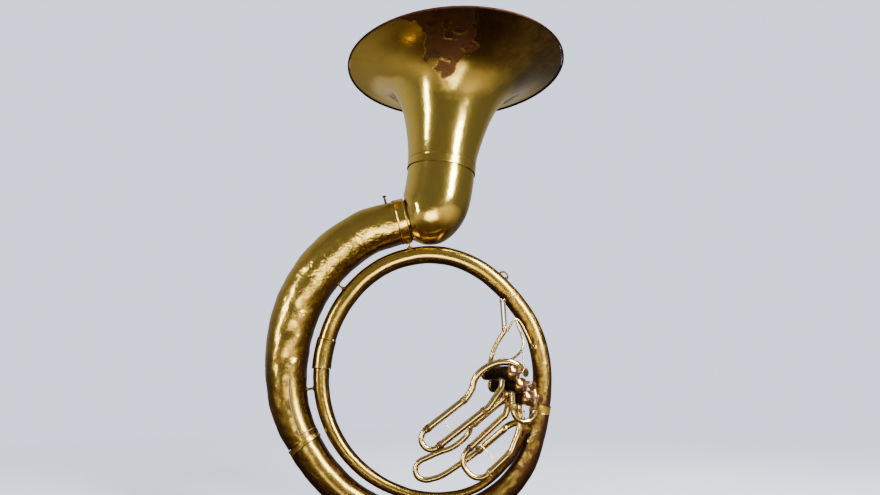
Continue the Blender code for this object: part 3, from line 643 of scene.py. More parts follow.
def ferrules():
    """Sleeves over the joints: a long curved one on the left, two short ones."""
    rows = smooth([(-181.2, 0.2638), (-185.0, 0.2635), (-189.0, 0.2635), (-193.0, 0.2637),
                   (-196.3, 0.2640)], 6)
    points = [spiral_point(*row) for row in rows]
    ends = [(points[0], tangents(points)[0]), (points[-1], tangents(points)[-1])]
    tube("ferrule_small", points, [FERRULE_RADIUS] * len(points), OLD_BRASS, 0.0008, 56,
         relief=dents(0.0003, 0.02), crumple=0.15, grime=edge_grime(0.26, ends, 0.0016),
         shade=ring_shade(0.75))
    drops = ((-196.6, 40.0), (-181.0, 25.0), (-181.6, 75.0))
    for index, (place, lean) in enumerate(drops, start=1):
        centre = spiral_point(place, 0.2638)
        a = math.radians(lean)
        outward = (RING_CENTRE - centre).normalized() * math.cos(a) + FRONT * math.sin(a)
        ball(f"ferrule_solder_{index}", centre + outward * (FERRULE_RADIUS - 0.0001), outward,
             0.0028, 0.0016, SOLDER, grime=0.0)
    for name, end, start, stop, length, edge, thick in (
            ("ferrule_middle", 0, 0, 1, 0.022, 0.0004, 0.0007),
            ("ferrule_large", -1, -2, -1, 0.014, 0.0002, 0.0006)):
        row = LARGE_TURN[end]
        along = spiral_point(*LARGE_TURN[stop][:2]) - spiral_point(*LARGE_TURN[start][:2])
        band(name, spiral_point(*row[:2]), along.normalized(), row[2] / 2 + BRANCH_GAP, length, edge,
             thick)


def guard_plate():
    """Sheet soldered over the bell branch's front, with a bright solder line round it."""
    rows = [r for r in smooth(BELL_TURN, 20) if -537 <= r[0] <= -514.2]
    points = [spiral_point(*row[:2]) for row in rows]
    width = 23
    verts = []
    for lift in (0.00115, 0.00175):
        for i, (point, direction, row) in enumerate(zip(points, tangents(points), rows)):
            across = direction.cross(FRONT).normalized()
            over = direction.cross(across).normalized()
            first = -79.0 + 8.0 * i / (len(rows) - 1)
            for k in range(width):
                a = math.radians(first + (-8.0 - first) * k / (width - 1))
                out = across * math.cos(a) + over * math.sin(a)
                verts.append(point + out * (row[2] / 2 + lift))
    count = len(rows) * width
    grid = [list(range(i * width, (i + 1) * width)) for i in range(len(rows))]
    faces = []
    for near, far in zip(grid, grid[1:]):
        for a, b, c, d in zip(near, near[1:], far[1:], far):
            faces += [(b, a, d, c), (a + count, b + count, c + count, d + count)]
    rim = [row[0] for row in grid] + grid[-1][1:] + [row[-1] for row in grid[-2::-1]]
    rim += grid[0][-2:0:-1]
    faces += [(a, a + count, b + count, b) for a, b in zip(rim, rim[1:] + rim[:1])]
    add_piece("guard_plate", verts, faces, OLD_BRASS, grime=lambda p, n: ring_grime_and_shade(p, n) - 0.06,
              shade=ring_shade(0.25))
    rod("guard_solder_side", verts[count::width], 0.0006, SOLDER, sides=8)
    rod("guard_solder_foot", verts[count:count + width], 0.0006, SOLDER, sides=8)


def post(name, start, end, radius, skin=BROWN_BRASS):
    """Turned stay with a flange at each end, and a bead half way if it is long enough."""
    length = (end - start).length
    waist = radius * 0.5
    flange = [(0, 0), (radius, 0), (radius, 0.0010), (radius * 0.75, 0.0016), (waist, 0.0032)]
    bead = [(waist, -0.002), (waist * 1.4, 0), (waist, 0.002)] if length > 0.016 else []
    profile = flange + [(r, length / 2 + h) for r, h in bead]
    profile += [(r, length - h) for r, h in flange[::-1]]
    turned(name, start, end - start, profile, skin, slot="dark_brass")


def radius_at(turns, degrees, near=False):
    """Distance from the ring's centre to a branch's outer or near edge."""
    best = min(smooth(turns, 8), key=lambda row: abs((row[0] - degrees + 180) % 360 - 180))
    return best[1] - best[2] / 2 if near else best[1] + best[2] / 2


def stays():
    for name, degrees in (("turn_stay_upper", 138.0), ("turn_stay_lower", 188.0)):
        inner = radius_at(MIDDLE_TURN + SMALL_TURN, degrees)
        outer = radius_at(BELL_TURN, degrees, near=True)
        post(name, spiral_point(degrees, inner), spiral_point(degrees, outer), 0.0058)
    degrees, half_width = 53.0, 2.0
    foot = radius_at(MIDDLE_TURN, degrees) + 0.0003
    loop = [(-half_width, 0.0), (-half_width, 0.0045), (-half_width / 2, 0.0085), (0.0, 0.0098),
            (half_width / 2, 0.0085), (half_width, 0.0045), (half_width, 0.0)]
    path = smooth_path([spiral_point(degrees + turn, foot + rise) for turn, rise in loop], 5)
    rod("strap_lug", path, 0.0022, BROWN_BRASS, grime=0.45)
    for tag, turn in (("left", half_width), ("right", -half_width)):
        base = spiral_point(degrees + turn, foot - 0.0002)
        turned(f"strap_lug_foot_{tag}", base, base - RING_CENTRE,
               [(0, 0), (0.0052, 0), (0.0048, 0.0010), (0.0026, 0.0024), (0, 0.0026)],
               BROWN_BRASS, sides=24, grime=0.45)
    # small worn lugs on the inner faces, where a guard or strap was once fixed
    lugs = ((SMALL_TURN, -125.8, 0.0062, 0.0024, 0.0042), (SMALL_TURN, -103.4, 0.0062, 0.0024, 0.0038),
            (MIDDLE_TURN, 95.4, 0.0090, 0.0026, 0.0050))
    for index, (turn, degrees, forward, rise, size) in enumerate(lugs, start=1):
        edge = radius_at(turn, degrees, near=True)
        spot = spiral_point(degrees, edge + 0.0030, -forward)
        out = (spot - spiral_point(degrees, edge + 0.0140)).normalized()
        turned(f"ring_lug_{index}", spot - out * 0.0016, out,
               [(0, 0), (size, 0), (size, rise), (size * 0.5, 0.0030), (0, 0.0036)], BROWN_BRASS,
               sides=24, grime=0.5)


# ---------- collar and bell
def collar():
    along = collar_axis()
    above = Vector((-along.z, 0, along.x))
    inside, half = TENON_RADIUS + 0.0010, COLLAR_HALF
    out, edge = inside + 0.0018, 0.0011
    ends = both_ends(COLLAR_CENTRE, along, half + 0.0004)

    def grime(place, normal):
        # painted shade: the collar's lower half is darker, added to the dark seam lines
        under = ramp(-(place - COLLAR_CENTRE).z, 0.005, 0.05)
        return edge_grime(0.12, ends, 0.0018, 0.85)(place, normal) + 0.35 * under
    # shade: painted shade on the collar's faces turned down
    turned("collar_socket", COLLAR_CENTRE, along, beaded(inside, out, edge, half, 0.0022),
           OLD_BRASS, sides=128, grime=grime, shade=lambda p, n: 0.8 * ramp(-n.z, 0.55, 0.95))
    ring_top = spiral_point(101.0, radius_at(MIDDLE_TURN, 101.0) + 0.0002)
    down = (ring_top - COLLAR_CENTRE).normalized()
    post("collar_foot", ring_top, COLLAR_CENTRE + down * (out + edge + 0.0003), 0.0068, SLIDE_BRASS)
    strap = [COLLAR_CENTRE + along * (-half - 0.0030 + (2 * half + 0.0035) * k / 8)
             + above * (out + edge + 0.0010) for k in range(9)]
    rod("collar_strap", strap, 0.0013, BROWN_BRASS, grime=0.8)
    for sign, tag in ((-1, "front"), (1, "back")):
        side = [p + Vector((0, sign * 0.0034, -0.0003)) for p in strap]
        rod(f"collar_strap_{tag}", side, 0.0011, BROWN_BRASS, grime=0.8)
    screws = [(COLLAR_CENTRE - along * 0.0300 + above * 0.0532, above, 0.0245)]
    for degrees in (-38.0, 218.0):
        away = FRONT * math.cos(math.radians(degrees)) + above * math.sin(math.radians(degrees))
        screws.append((COLLAR_CENTRE + away * (TENON_RADIUS + 0.0035), away, 0.0150))
    for index, (base, away, height) in enumerate(screws, start=1):
        turned(f"collar_screw_{index}", base + away * height, away,
               [(0, -height), (0.0030, -height), (0.0030, -0.0095), (0.0022, -0.0088),
                (0.0022, -0.0056), (0.0048, -0.0046), (0.0053, -0.0030), (0.0048, -0.0008),
                (0, 0)], BROWN_BRASS, sides=96, knurl=(-0.0047, -0.0010, 20, 0.0006),
               body=f"screw_{index}", grime=0.6)
        turned(f"collar_screw_seat_{index}", base, away,
               [(0.0032, 0.0), (0.0052, 0.0), (0.0046, 0.0030), (0.0032, 0.0034)], BROWN_BRASS,
               grime=0.5)


def bell_tube(name, rows, sides, relief, **looks):
    """Tube through rows of centre, direction and radius."""
    centres, directions, radii = zip(*rows)
    tube(name, centres, radii, BELL_BRASS, SHEET, sides, along=directions, relief=relief,
         body="bell", **looks)


def bell():
    along = collar_axis()
    tenon_end = COLLAR_CENTRE + along * 0.0150
    rows = [(COLLAR_CENTRE + along * 0.0010, along, TENON_RADIUS), (tenon_end, along, TENON_RADIUS)]
    curve = smooth([(tenon_end.x, tenon_end.z, 2 * TENON_RADIUS, COLLAR_RISE)] + ELBOW, 9)
    rows += [bell_section(row) for row in curve[1:]]
    marks = [(Vector((-0.038, -0.052, 0.150)), 0.014, -0.0016),
             (Vector((0.035, -0.060, 0.120)), 0.020, 0.0010),
             (Vector((-0.005, -0.083, 0.175)), 0.018, 0.0008)]

    def elbow_seam_and_shade(place, normal):
        seam = abs((place - COLLAR_CENTRE).dot(along) - COLLAR_HALF - 0.001) / 0.0015
        # a dark seam at the collar, and painted shade on the faces turned down
        return 0.10 + 0.45 * clamp(-normal.z) ** 2 + 0.5 * math.exp(-seam * seam)
    # shade: painted shade on the elbow's faces turned down and to the right
    bell_tube("bell_elbow", rows, 112, dents(0.0005, 0.045, marks, 0.0007), grime=elbow_seam_and_shade,
              shade=lambda p, n: 0.92 * ramp(0.55 * n.x - 0.83 * n.z, 0.60, 0.92))
    rows = [bell_section(row) for row in smooth(FLARE, 9)]
    rim_centre, rim_axis, rim_radius = rows[-1]
    folds = [(rim_centre + Vector((-0.235, -0.10, -0.010)), 0.016, 0.0008),
             (rim_centre + Vector((-0.215, -0.07, -0.014)), 0.012, -0.0014),
             (rim_centre + Vector((-0.20, 0.10, -0.015)), 0.012, 0.0014)]
    bell_tube("bell_flare", rows, 160, dents(0.0006, 0.05, folds), grime=flare_stains_and_shade,
              shade=flare_shade)
    joint, direction, radius = bell_section(FLARE[0])
    band("bell_ferrule", joint, direction, radius + 0.0003, 0.023, 0.0002, 0.0008, BELL_BRASS, 0.12,
         body="bell")
    wire = 0.0030
    profile = [(rim_radius + 0.0001 + wire * (1 + math.cos(a)) * 0.86, wire * math.sin(a))
               for a in angles(14)]
    turned("bell_rim", rim_centre, rim_axis, profile, BROWN_BRASS, sides=192, soften=0.0,
           body="bell", grime=0.80)


# ---------- valves
def valve_top(number):
    return VALVE_2_TOP + VALVE_ROW * (VALVE_PITCH * (number - 2))


def port(number, height, degrees):
    """Place just off a casing's wall, and the direction out of it."""
    a = math.radians(degrees)
    out = VALVE_ACROSS * math.cos(a) + UP * math.sin(a)
    return valve_top(number) + VALVE_AXIS * height + out * (CASING_RADIUS + PORT_GAP), out


def port_fillet(name, number, height, degrees, radius):
    """Saddle of solder round a tube where it meets its casing."""
    axis_point = valve_top(number) + VALVE_AXIS * height
    out = port(number, height, degrees)[1]
    side = VALVE_AXIS.cross(out).normalized()
    sides = 32
    steps = ((0.0022, -0.0006), (0.0021, 0.0002), (0.0011, 0.0008), (0.0004, 0.0020), (0.0, 0.0034),
             (-0.0006, 0.0034), (-0.0006, -0.0006))
    verts = []
    for grow, lift in steps:
        for a in angles(sides):
            across, along = (radius + grow) * math.cos(a), (radius + grow) * math.sin(a)
            rise = math.sqrt(max(CASING_RADIUS ** 2 - across ** 2, 0.0))
            verts.append(axis_point + side * across + VALVE_AXIS * along + out * (rise + lift))
    add_piece(name, verts, lofted_faces(len(steps), sides, True), SOLDER, grime=0.35)


def valve(number):
    top = valve_top(number)
    seams = [(top + VALVE_AXIS * h, VALVE_AXIS) for h in (CASING_TOP - 0.004, CASING_BOTTOM + 0.009)]
    bore, thin, skirt = CASING_RADIUS - 0.0012, CASING_RADIUS - 0.0004, CASING_RADIUS + 0.0002
    turned(f"valve_casing_{number}", top, VALVE_AXIS,
           [(bore, CASING_BOTTOM), (thin, CASING_BOTTOM), (thin, CASING_BOTTOM + 0.0088),
            (CASING_RADIUS, CASING_BOTTOM + 0.0092), (CASING_RADIUS, CASING_TOP - 0.0038),
            (thin, CASING_TOP - 0.0034), (thin, CASING_TOP), (bore, CASING_TOP)], SLIDE_BRASS,
           sides=64, grime=edge_grime(0.42, seams, 0.002, 0.5))
    turned(f"top_cap_{number}", top, VALVE_AXIS,
           [(skirt, -0.0135), (0.0170, -0.0135), (0.0176, -0.0125), (0.0176, -0.0072),
            (0.0170, -0.0062), (0.0150, -0.0045), (0.0105, -0.0020), (0.0072, -0.0002),
            (0.0060, 0), (0.0042, -0.0004), (0.0042, -0.0080), (skirt, -0.0080)], CAP_BRASS,
           sides=160, knurl=(-0.0130, -0.0066, 40, 0.0006), grime=0.25)
    floor = CASING_BOTTOM - 0.0003
    turned(f"bottom_cap_{number}", top + VALVE_AXIS * floor, VALVE_AXIS,
           [(0.0030, -0.0045), (0.0050, -0.0045), (0.0058, -0.0034), (0.0104, -0.0034),
            (0.0112, -0.0045), (0.0126, -0.0040), (0.0168, -0.0020), (0.0168, 0.0080),
            (skirt, 0.0080), (skirt, 0), (0.0030, 0)], SLIDE_BRASS, sides=160,
           knurl=(-0.0010, 0.0070, 40, 0.0006), grime=0.3)
    body = f"piston_body_{number}"
    crown = PISTON_TOP - 0.0020
    hollow = PISTON_RADIUS - 0.0012
    turned(f"piston_{number}", top, VALVE_AXIS,
           [(0, crown), (hollow, crown), (hollow, PISTON_BOTTOM), (PISTON_RADIUS, PISTON_BOTTOM),
            (PISTON_RADIUS, PISTON_TOP), (0.0052, PISTON_TOP), (0.0052, PISTON_TOP + 0.0030),
            (0.0033, PISTON_TOP + 0.0036), (0.0033, STEM_END - 0.0016),
            (0.0026, STEM_END - 0.0012), (0.0026, STEM_END), (0, STEM_END)], NICKEL, sides=48,
           body=body, grime=0.1)
    turned(f"finger_button_{number}", top + VALVE_AXIS * STEM_END, VALVE_AXIS,
           [(0, -0.0010), (0.0034, -0.0004), (0.0044, 0.0012), (0.0092, 0.0030), (0.0100, 0.0042),
            (0.0099, 0.0054), (0.0090, 0.0060), (0.0072, 0.0054), (0, 0.0050)], CAP_BRASS, sides=64,
           body=body, grime=0.2)
    turned(f"button_felt_{number}", top, VALVE_AXIS,
           [(0.0044, 0.0003), (0.0072, 0.0003), (0.0074, 0.0014), (0.0070, 0.0025),
            (0.0044, 0.0025)], FELT)
    valve_spring(number, floor, crown)


def coil(base, axis, across, over, radius, low, high, turns, per_turn):
    """Points of a helix round an axis, from height low to height high."""
    points = []
    for k in range(turns * per_turn + 1):
        a = 2 * math.pi * k / per_turn
        height = low + (high - low) * k / (turns * per_turn)
        points.append(base + axis * height + (across * math.cos(a) + over * math.sin(a)) * radius)
    return points


def valve_spring(number, low, high):
    wire = 0.0006
    points = coil(valve_top(number), VALVE_AXIS, VALVE_ACROSS, UP, 0.0090, low + 2 * wire,
                  high - 2 * wire, 9, 24)
    spring = rod(f"piston_spring_{number}", points, wire, STEEL, sides=8, up=VALVE_AXIS,
                 body=f"piston_body_{number}")
    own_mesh(spring)


def route(start_port, stops, end_port=None, straight=0.006):
    """Smooth path that leaves one port squarely, passes the stops, and meets another."""
    spot, out = start_port
    lead = [spot - out * 0.0006]
    path = [spot + out * straight] + [Vector(s) for s in stops]
    tail = []
    if end_port:
        spot, out = end_port
        path.append(spot + out * straight)
        tail = [spot - out * 0.0006]
    return lead + smooth_path(path, 6) + tail


def brass_tube(name, points, radius=SLEEVE_RADIUS, up=FRONT, grime=0.14, **words):
    tube(name, points, [radius] * len(points), SLIDE_BRASS, up=up, relief=dents(0.00012, 0.012),
         grime=grime, **words)


def ring_band(name, centre, along, radius, length, **words):
    """Small soldered ferrule with rounded ends."""
    half, low, high = length / 2, radius - 0.0002, radius + 0.0009
    turned(name, centre, along, [(low, -half), (high, -half), (high, half), (low, half)],
           SLIDE_BRASS, soften=0.0005,
           grime=edge_grime(0.15, both_ends(centre, along, half), 0.0008, 0.6), **words)


def knuckles():
    radius = 0.0062
    for low, high, height in ((1, 2, -0.062), (2, 3, -0.080)):
        a, out_a = port(low, height, -12.0)
        b, out_b = port(high, height, 28.0)
        stops = [a + out_a * 0.016 + (b - a) * 0.2, b + out_b * 0.016 + (a - b) * 0.2]
        points = route((a, out_a), stops, (b, out_b), straight=0.005)
        brass_tube(f"knuckle_{low}{high}", points, radius, VALVE_AXIS)
        port_fillet(f"knuckle_{low}{high}_fillet_a", low, height, -12.0, radius)
        port_fillet(f"knuckle_{low}{high}_fillet_b", high, height, 28.0, radius)


# ---------- valve slides
def bend(start, heading, side, radius, spans=12):
    """Points of a quarter turn that leaves start along heading and turns towards side."""
    centre = start + side * radius
    turns = [math.pi / 2 * k / spans for k in range(1, spans + 1)]
    return [centre - side * radius * math.cos(a) + heading * radius * math.sin(a) for a in turns]


class Slide:
    """Two parallel sleeves and the crook whose legs run in them."""

    def __init__(self, name, upper, heading, across, spread, sleeve_end, corner):
        self.name = name
        self.body = f"{name}_slide_body"
        self.upper = Vector(upper)
        self.heading = Vector(heading).normalized()
        self.across = Vector(across)
        self.across = (self.across - self.heading * self.across.dot(self.heading)).normalized()
        self.up = self.across.cross(self.heading).normalized()
        self.spread = spread
        self.sleeve_end = sleeve_end
        self.corner = corner

    def on(self, along, lower=False):
        """Place on the centre line of the upper or the lower sleeve."""
        return self.upper + self.heading * along + self.across * (self.spread if lower else 0)

    def branch(self, side, place, stops, ends, lower=False, straight=0.006):
        """Tube from a casing's port past the stops into a sleeve, soldered at the port."""
        points = route(port(*place), stops, straight=straight)
        points += [self.on(end, lower) for end in ends]
        brass_tube(f"{self.name}_branch_{side}", points, up=self.up)
        port_fillet(f"{self.name}_{side}_fillet", *place, SLEEVE_RADIUS)

    def crook(self, points):
        brass_tube(f"{self.name}_slide", points, SLIDE_RADIUS, self.up, 0.08, body=self.body)

    def crook_path(self, depth):
        """Square bow whose legs reach depth into the sleeves."""
        out = self.on(self.sleeve_end + 0.004)
        path = [self.on(self.sleeve_end - depth), self.on(self.sleeve_end - depth / 2), out]
        path += bend(out, self.heading, self.across, self.corner)
        turn = path[-1] + self.across * (self.spread - 2 * self.corner)
        if (turn - path[-1]).length > 0.001:
            path.append(turn)
        path += bend(turn, self.across, -self.heading, self.corner)
        return path + [self.on(self.sleeve_end - depth / 2, True), self.on(self.sleeve_end - depth, True)]

    def ring(self, tag, along, lower=False, radius=SLEEVE_RADIUS, length=0.010, **words):
        ring_band(f"{self.name}_{tag}", self.on(along, lower), self.heading, radius, length, **words)

    def mouths(self):
        """Ferrules on the sleeves' mouths and on the crook beside them."""
        for tag, lower in (("upper", False), ("lower", True)):
            self.ring(f"mouth_{tag}", self.sleeve_end - 0.0045, lower, length=0.009)
            self.ring(f"stop_{tag}", self.sleeve_end + 0.0035, lower, SLIDE_RADIUS, 0.004,
                      body=self.body)

    def brace(self, start, lean, span, bow=0.0):
        """Thin bar between the sleeves, leaning and bowed along them."""
        shares = [k / 8 for k in range(9)]
        points = [self.on(start + lean * t + bow * math.sin(math.pi * t))
                  + self.across * (0.0078 + span * t) for t in shares]
        rod(f"{self.name}_slide_brace", points, 0.0013, SLIDE_BRASS)


def first_slide():
    s = Slide("first", (0.0352, -0.062, -0.3483), (-0.7986, 0, -0.6018), (0.6018, 0, -0.7986),
              0.045, 0.060, 0.0220)
    over_valve = [(0.2010, -0.0600, -0.2540), (0.1945, -0.0675, -0.2450),
                  (0.1820, -0.0715, -0.2395), (0.1704, -0.0730, -0.2378),
                  (0.1547, -0.0735, -0.2380), (0.1390, -0.0725, -0.2415),
                  (0.1225, -0.0715, -0.2490), (0.1085, -0.0700, -0.2590),
                  (0.0975, -0.0680, -0.2715), (0.0918, -0.0655, -0.2845),
                  (0.0880, -0.0635, -0.2985), s.on(-0.050), s.on(-0.040)]
    s.branch("upper", (1, -0.030, 4.0), over_valve, (0.015, s.sleeve_end))
    under_valve = [(0.1555, -0.0610, -0.2950), (0.1420, -0.0617, -0.3145), s.on(-0.080, True),
                   s.on(-0.070, True)]
    s.branch("lower", (1, -0.0447, -90.0), under_valve, (0.0, s.sleeve_end), True)
    s.crook(s.crook_path(0.090))
    s.mouths()
    s.ring("bow_upper", -0.044)
    s.ring("bow_lower", -0.066, True)
    s.brace(0.0150, 0.0, 0.0314, bow=0.0035)


def second_slide():
    s = Slide("second", (0.1818, -0.0527, -0.3046), (0, 0, -1), (0.9522, 0.3056, 0), 0.0537,
              0.034, 0.0265)
    left = (2, -0.0362, -90.0)
    points = [port(*left)[0], s.on(0.010), s.on(s.sleeve_end)]
    brass_tube("second_branch_left", points, up=s.up)
    port_fillet("second_left_fillet", *left, SLEEVE_RADIUS)
    side = [(0.2085, -0.0285, -0.2868), (0.2220, -0.0310, -0.2872), (0.2300, -0.0340, -0.2950),
            s.on(0.006, True), s.on(0.012, True)]
    s.branch("right", (2, -0.0362, 0.0), side, (s.sleeve_end,), True)
    s.crook(s.crook_path(0.024))
    s.mouths()
    foot = s.on(s.sleeve_end + 0.004 + s.corner - SLIDE_RADIUS) + s.across * (s.spread / 2)
    rod("second_slide_pull", [foot - s.heading * out for out in (-0.001, 0.012, 0.0165)],
        [0.0020, 0.0013, 0.0024], SLIDE_BRASS, body=s.body)


def third_slide():
    s = Slide("third", (0.1534, -0.030, -0.3662), (-0.7466, 0, -0.6652), (0.6652, 0, -0.7466),
              0.068, 0.096, 0.0300)
    s.branch("left", (3, -0.058, -135.0), [s.on(-0.018), s.on(-0.010)], (0.050, s.sleeve_end))
    side = [(0.1975, -0.0325, -0.3520), (0.1972, -0.0300, -0.3790), (0.1942, -0.0300, -0.3960),
            (0.1866, -0.0300, -0.4135), s.on(0.030, True), s.on(0.040, True)]
    s.branch("right", (3, -0.040, -90.0), side, (s.sleeve_end,), True)
    s.crook(s.crook_path(0.054))
    s.mouths()
    s.ring("bow_lower", 0.034, True)
    s.brace(0.0700, -0.0028, 0.0524)


def tuning_slide():
    s = Slide("tuning", (0.0935, -0.016, -0.3772), (-0.752, 0.209, -0.624),
              (0.612, -0.127, -0.781), 0.0513, 0.0, 0.0200)
    s.branch("upper", (2, -0.0538, -95.0), [(0.1665, -0.0372, -0.3160), s.on(-0.088), s.on(-0.080)],
             (-0.040, s.sleeve_end), straight=0.004)
    end = 0.030
    back = [s.on(-0.042, True), s.on(-0.052, True), (0.1640, -0.0225, -0.3850),
            (0.1820, -0.0110, -0.3765), (0.2010, -0.0070, -0.3730), (0.2125, -0.0130, -0.3780),
            spiral_point(-30.5, 0.2504, -0.0208)]
    points = [s.on(end, True), s.on(-0.005, True)] + smooth_path(back, 6)
    brass_tube("tuning_branch_lower", points, up=s.up)
    bow = [s.on(0.008), (0.0820, -0.0110, -0.3975), (0.0646, -0.0085, -0.4153),
           (0.0421, -0.0070, -0.4298), (0.0166, -0.0065, -0.4386), (-0.0059, -0.0060, -0.4480),
           (-0.0310, -0.0055, -0.4600), (-0.0390, -0.0055, -0.4760), (-0.0340, -0.0055, -0.4920),
           (-0.0180, -0.0055, -0.4990), (0.0010, -0.0060, -0.4965), (0.0300, -0.0070, -0.4850),
           s.on(end + 0.012, True), s.on(end + 0.006, True)]
    s.crook([s.on(-0.050), s.on(-0.025), s.on(0.002)] + smooth_path(bow, 6)
            + [s.on(end - 0.025, True), s.on(end - 0.045, True)])
    s.ring("mouth_upper", -0.0045, length=0.009)
    s.ring("mouth_lower", end - 0.0045, True, length=0.009)
    meet = spiral_point(-31.2, 0.2509, -0.0205)
    next_to = spiral_point(-36.0, 0.2540, -0.0180)
    ring_band("small_branch_ferrule", meet, (next_to - meet).normalized(), 0.0080, 0.014)


# ---------- leadpipe and stays
def leadpipe():
    foot, top = Vector((0.1672, -0.0450, -0.1604)), Vector((0.1628, -0.0550, -0.0925))
    axis = (top - foot).normalized()
    length = (top - foot).length
    turned("receiver", foot, axis,
           [(0.0046, 0), (0.0064, 0), (0.0064, 0.0030), (0.0060, 0.0040), (0.0060, 0.0075),
            (0.0064, 0.0085), (0.0066, length - 0.0070), (0.0076, length - 0.0055),
            (0.0076, length - 0.0010), (0.0072, length), (0.0059, length)], NICKEL, sides=48,
           grime=0.02)
    radius, place = 0.0055, (1, -0.085, 90.0)
    end = foot - axis * 0.0003
    stops = [(0.1372, -0.0355, -0.2230), (0.1445, -0.0370, -0.2032), (0.1561, -0.0395, -0.1824),
             end - axis * 0.006]
    points = route(port(*place), stops) + [end]
    tube("leadpipe", points, [radius] * len(points), SLIDE_BRASS, grime=0.32)
    port_fillet("leadpipe_fillet", *place, radius)
    ring_band("receiver_ferrule", foot - axis * 0.002, axis, 0.0058, 0.010)


def leadpipe_stays():
    centre = spiral_point(12.9, 0.2584)
    toward = Vector((-0.565, -0.812, -0.137)).normalized()
    seat = centre + toward * 0.0236
    stay = [(0.1752, -0.0424, -0.1655), (0.1855, -0.0400, -0.1463), (0.1949, -0.0370, -0.1372),
            (0.2073, -0.0330, -0.1463), (0.2202, -0.0295, -0.1710), (0.2301, -0.0275, -0.1922),
            seat + toward * 0.003, seat]
    rod("leadpipe_stay", smooth_path(stay, 8), 0.0024, SLIDE_BRASS, grime=0.42)
    turned("leadpipe_stay_foot", centre + toward * 0.0230, toward,
           [(0, 0), (0.0074, 0.0002), (0.0070, 0.0014), (0.0034, 0.0030), (0, 0.0034)],
           SLIDE_BRASS, grime=0.2)
    stops = [(0.1571, -0.0500, -0.2354), (0.1765, -0.0485, -0.2322), (0.1897, -0.0470, -0.2258),
             (0.2033, -0.0440, -0.2131), (0.2088, -0.0420, -0.2002), (0.2103, -0.0400, -0.1889),
             (0.2076, -0.0390, -0.1760), (0.2007, -0.0385, -0.1582), (0.1963, -0.0376, -0.1422)]
    rod("valve_brace", route(port(1, -0.062, 90.0), stops, straight=0.004), 0.0030, SLIDE_BRASS,
        sides=16, grime=lambda p, n: 0.12 + 0.35 * ramp(p.z, -0.20, -0.17))
    ball("valve_brace_solder", Vector((0.1957, -0.0374, -0.1398)), Vector((-0.2, 0.1, 1.0)), 0.0036,
         0.0020, SOLDER)
    holder = [(0.2040, -0.0592, -0.2490), (0.2076, -0.0578, -0.2410), (0.2078, -0.0570, -0.2270),
              (0.2050, -0.0570, -0.2030)]
    rod("lyre_socket", smooth_path(holder, 8), 0.0024, NICKEL, grime=0.1)


def water_key():
    """Nipple, saddle and sprung lever on the large branch, at the ring's lower right."""
    row = min(smooth(LARGE_TURN, 8), key=lambda r: abs(r[0] + 395.0))
    centre = spiral_point(*row[:2])
    outward = (centre - RING_CENTRE).normalized()
    along = Vector((0, 1, 0)).cross(outward).normalized()
    if along.z > 0:
        along = -along
    face = (-outward * 0.45 + FRONT * 0.89).normalized()
    side = along.cross(face).normalized()
    surface = centre + face * (row[2] / 2 + BRANCH_GAP)
    turned("water_nipple", surface, face,
           [(0.0020, -0.0010), (0.0056, -0.0010), (0.0042, 0.0010), (0.0036, 0.0022),
            (0.0036, 0.0060), (0.0020, 0.0060)], SLIDE_BRASS)
    pivot = surface + face * 0.0089 - along * 0.017

    def at(ahead, lift):
        return pivot + along * ahead + face * lift
    low, high = at(0, -0.0085), at(0, -0.0024)
    for tag, sign in (("left", -1), ("right", 1)):
        ear = side * (0.0040 * sign)
        rod(f"water_saddle_{tag}", [low + ear, high + ear, pivot + ear], 0.0016, SLIDE_BRASS,
            grime=0.25)
    rod("water_saddle", [at(-0.004, -0.0085), at(0.004, -0.0085)], 0.0030, SLIDE_BRASS, grime=0.35)
    body = "water_key_body"
    lever = [at(-0.010, 0.0012), at(0, 0.0002), at(0.010, 0), at(0.0215, 0.0002)]
    rod("water_key", smooth_path(lever, 6), 0.0014, SLIDE_BRASS, body=body)
    rod("water_key_axle", [pivot - side * 0.0048, pivot + side * 0.0048], 0.0011, STEEL, body=body,
        slot="brass")
    turned("water_key_cup", at(0.017, -0.0014), face,
           [(0, 0), (0.0034, 0), (0.0040, 0.0008), (0.0040, 0.0020), (0, 0.0024)], SLIDE_BRASS,
           body=body)
    turned("water_key_cork", at(0.017, -0.0022), face,
           [(0, 0), (0.0030, 0), (0.0030, 0.0009), (0, 0.0009)], CORK, sides=24, soften=0.0002,
           body=body)
    ball("water_key_touch", at(-0.0105, 0.0016), face, 0.0038, 0.0014, SLIDE_BRASS, body=body)
    points = coil(pivot, side, along, face, 0.0022, -0.0030, 0.0030, 4, 12)
    rod("water_key_spring", points, 0.0003, STEEL, sides=6, up=side, slot="brass")


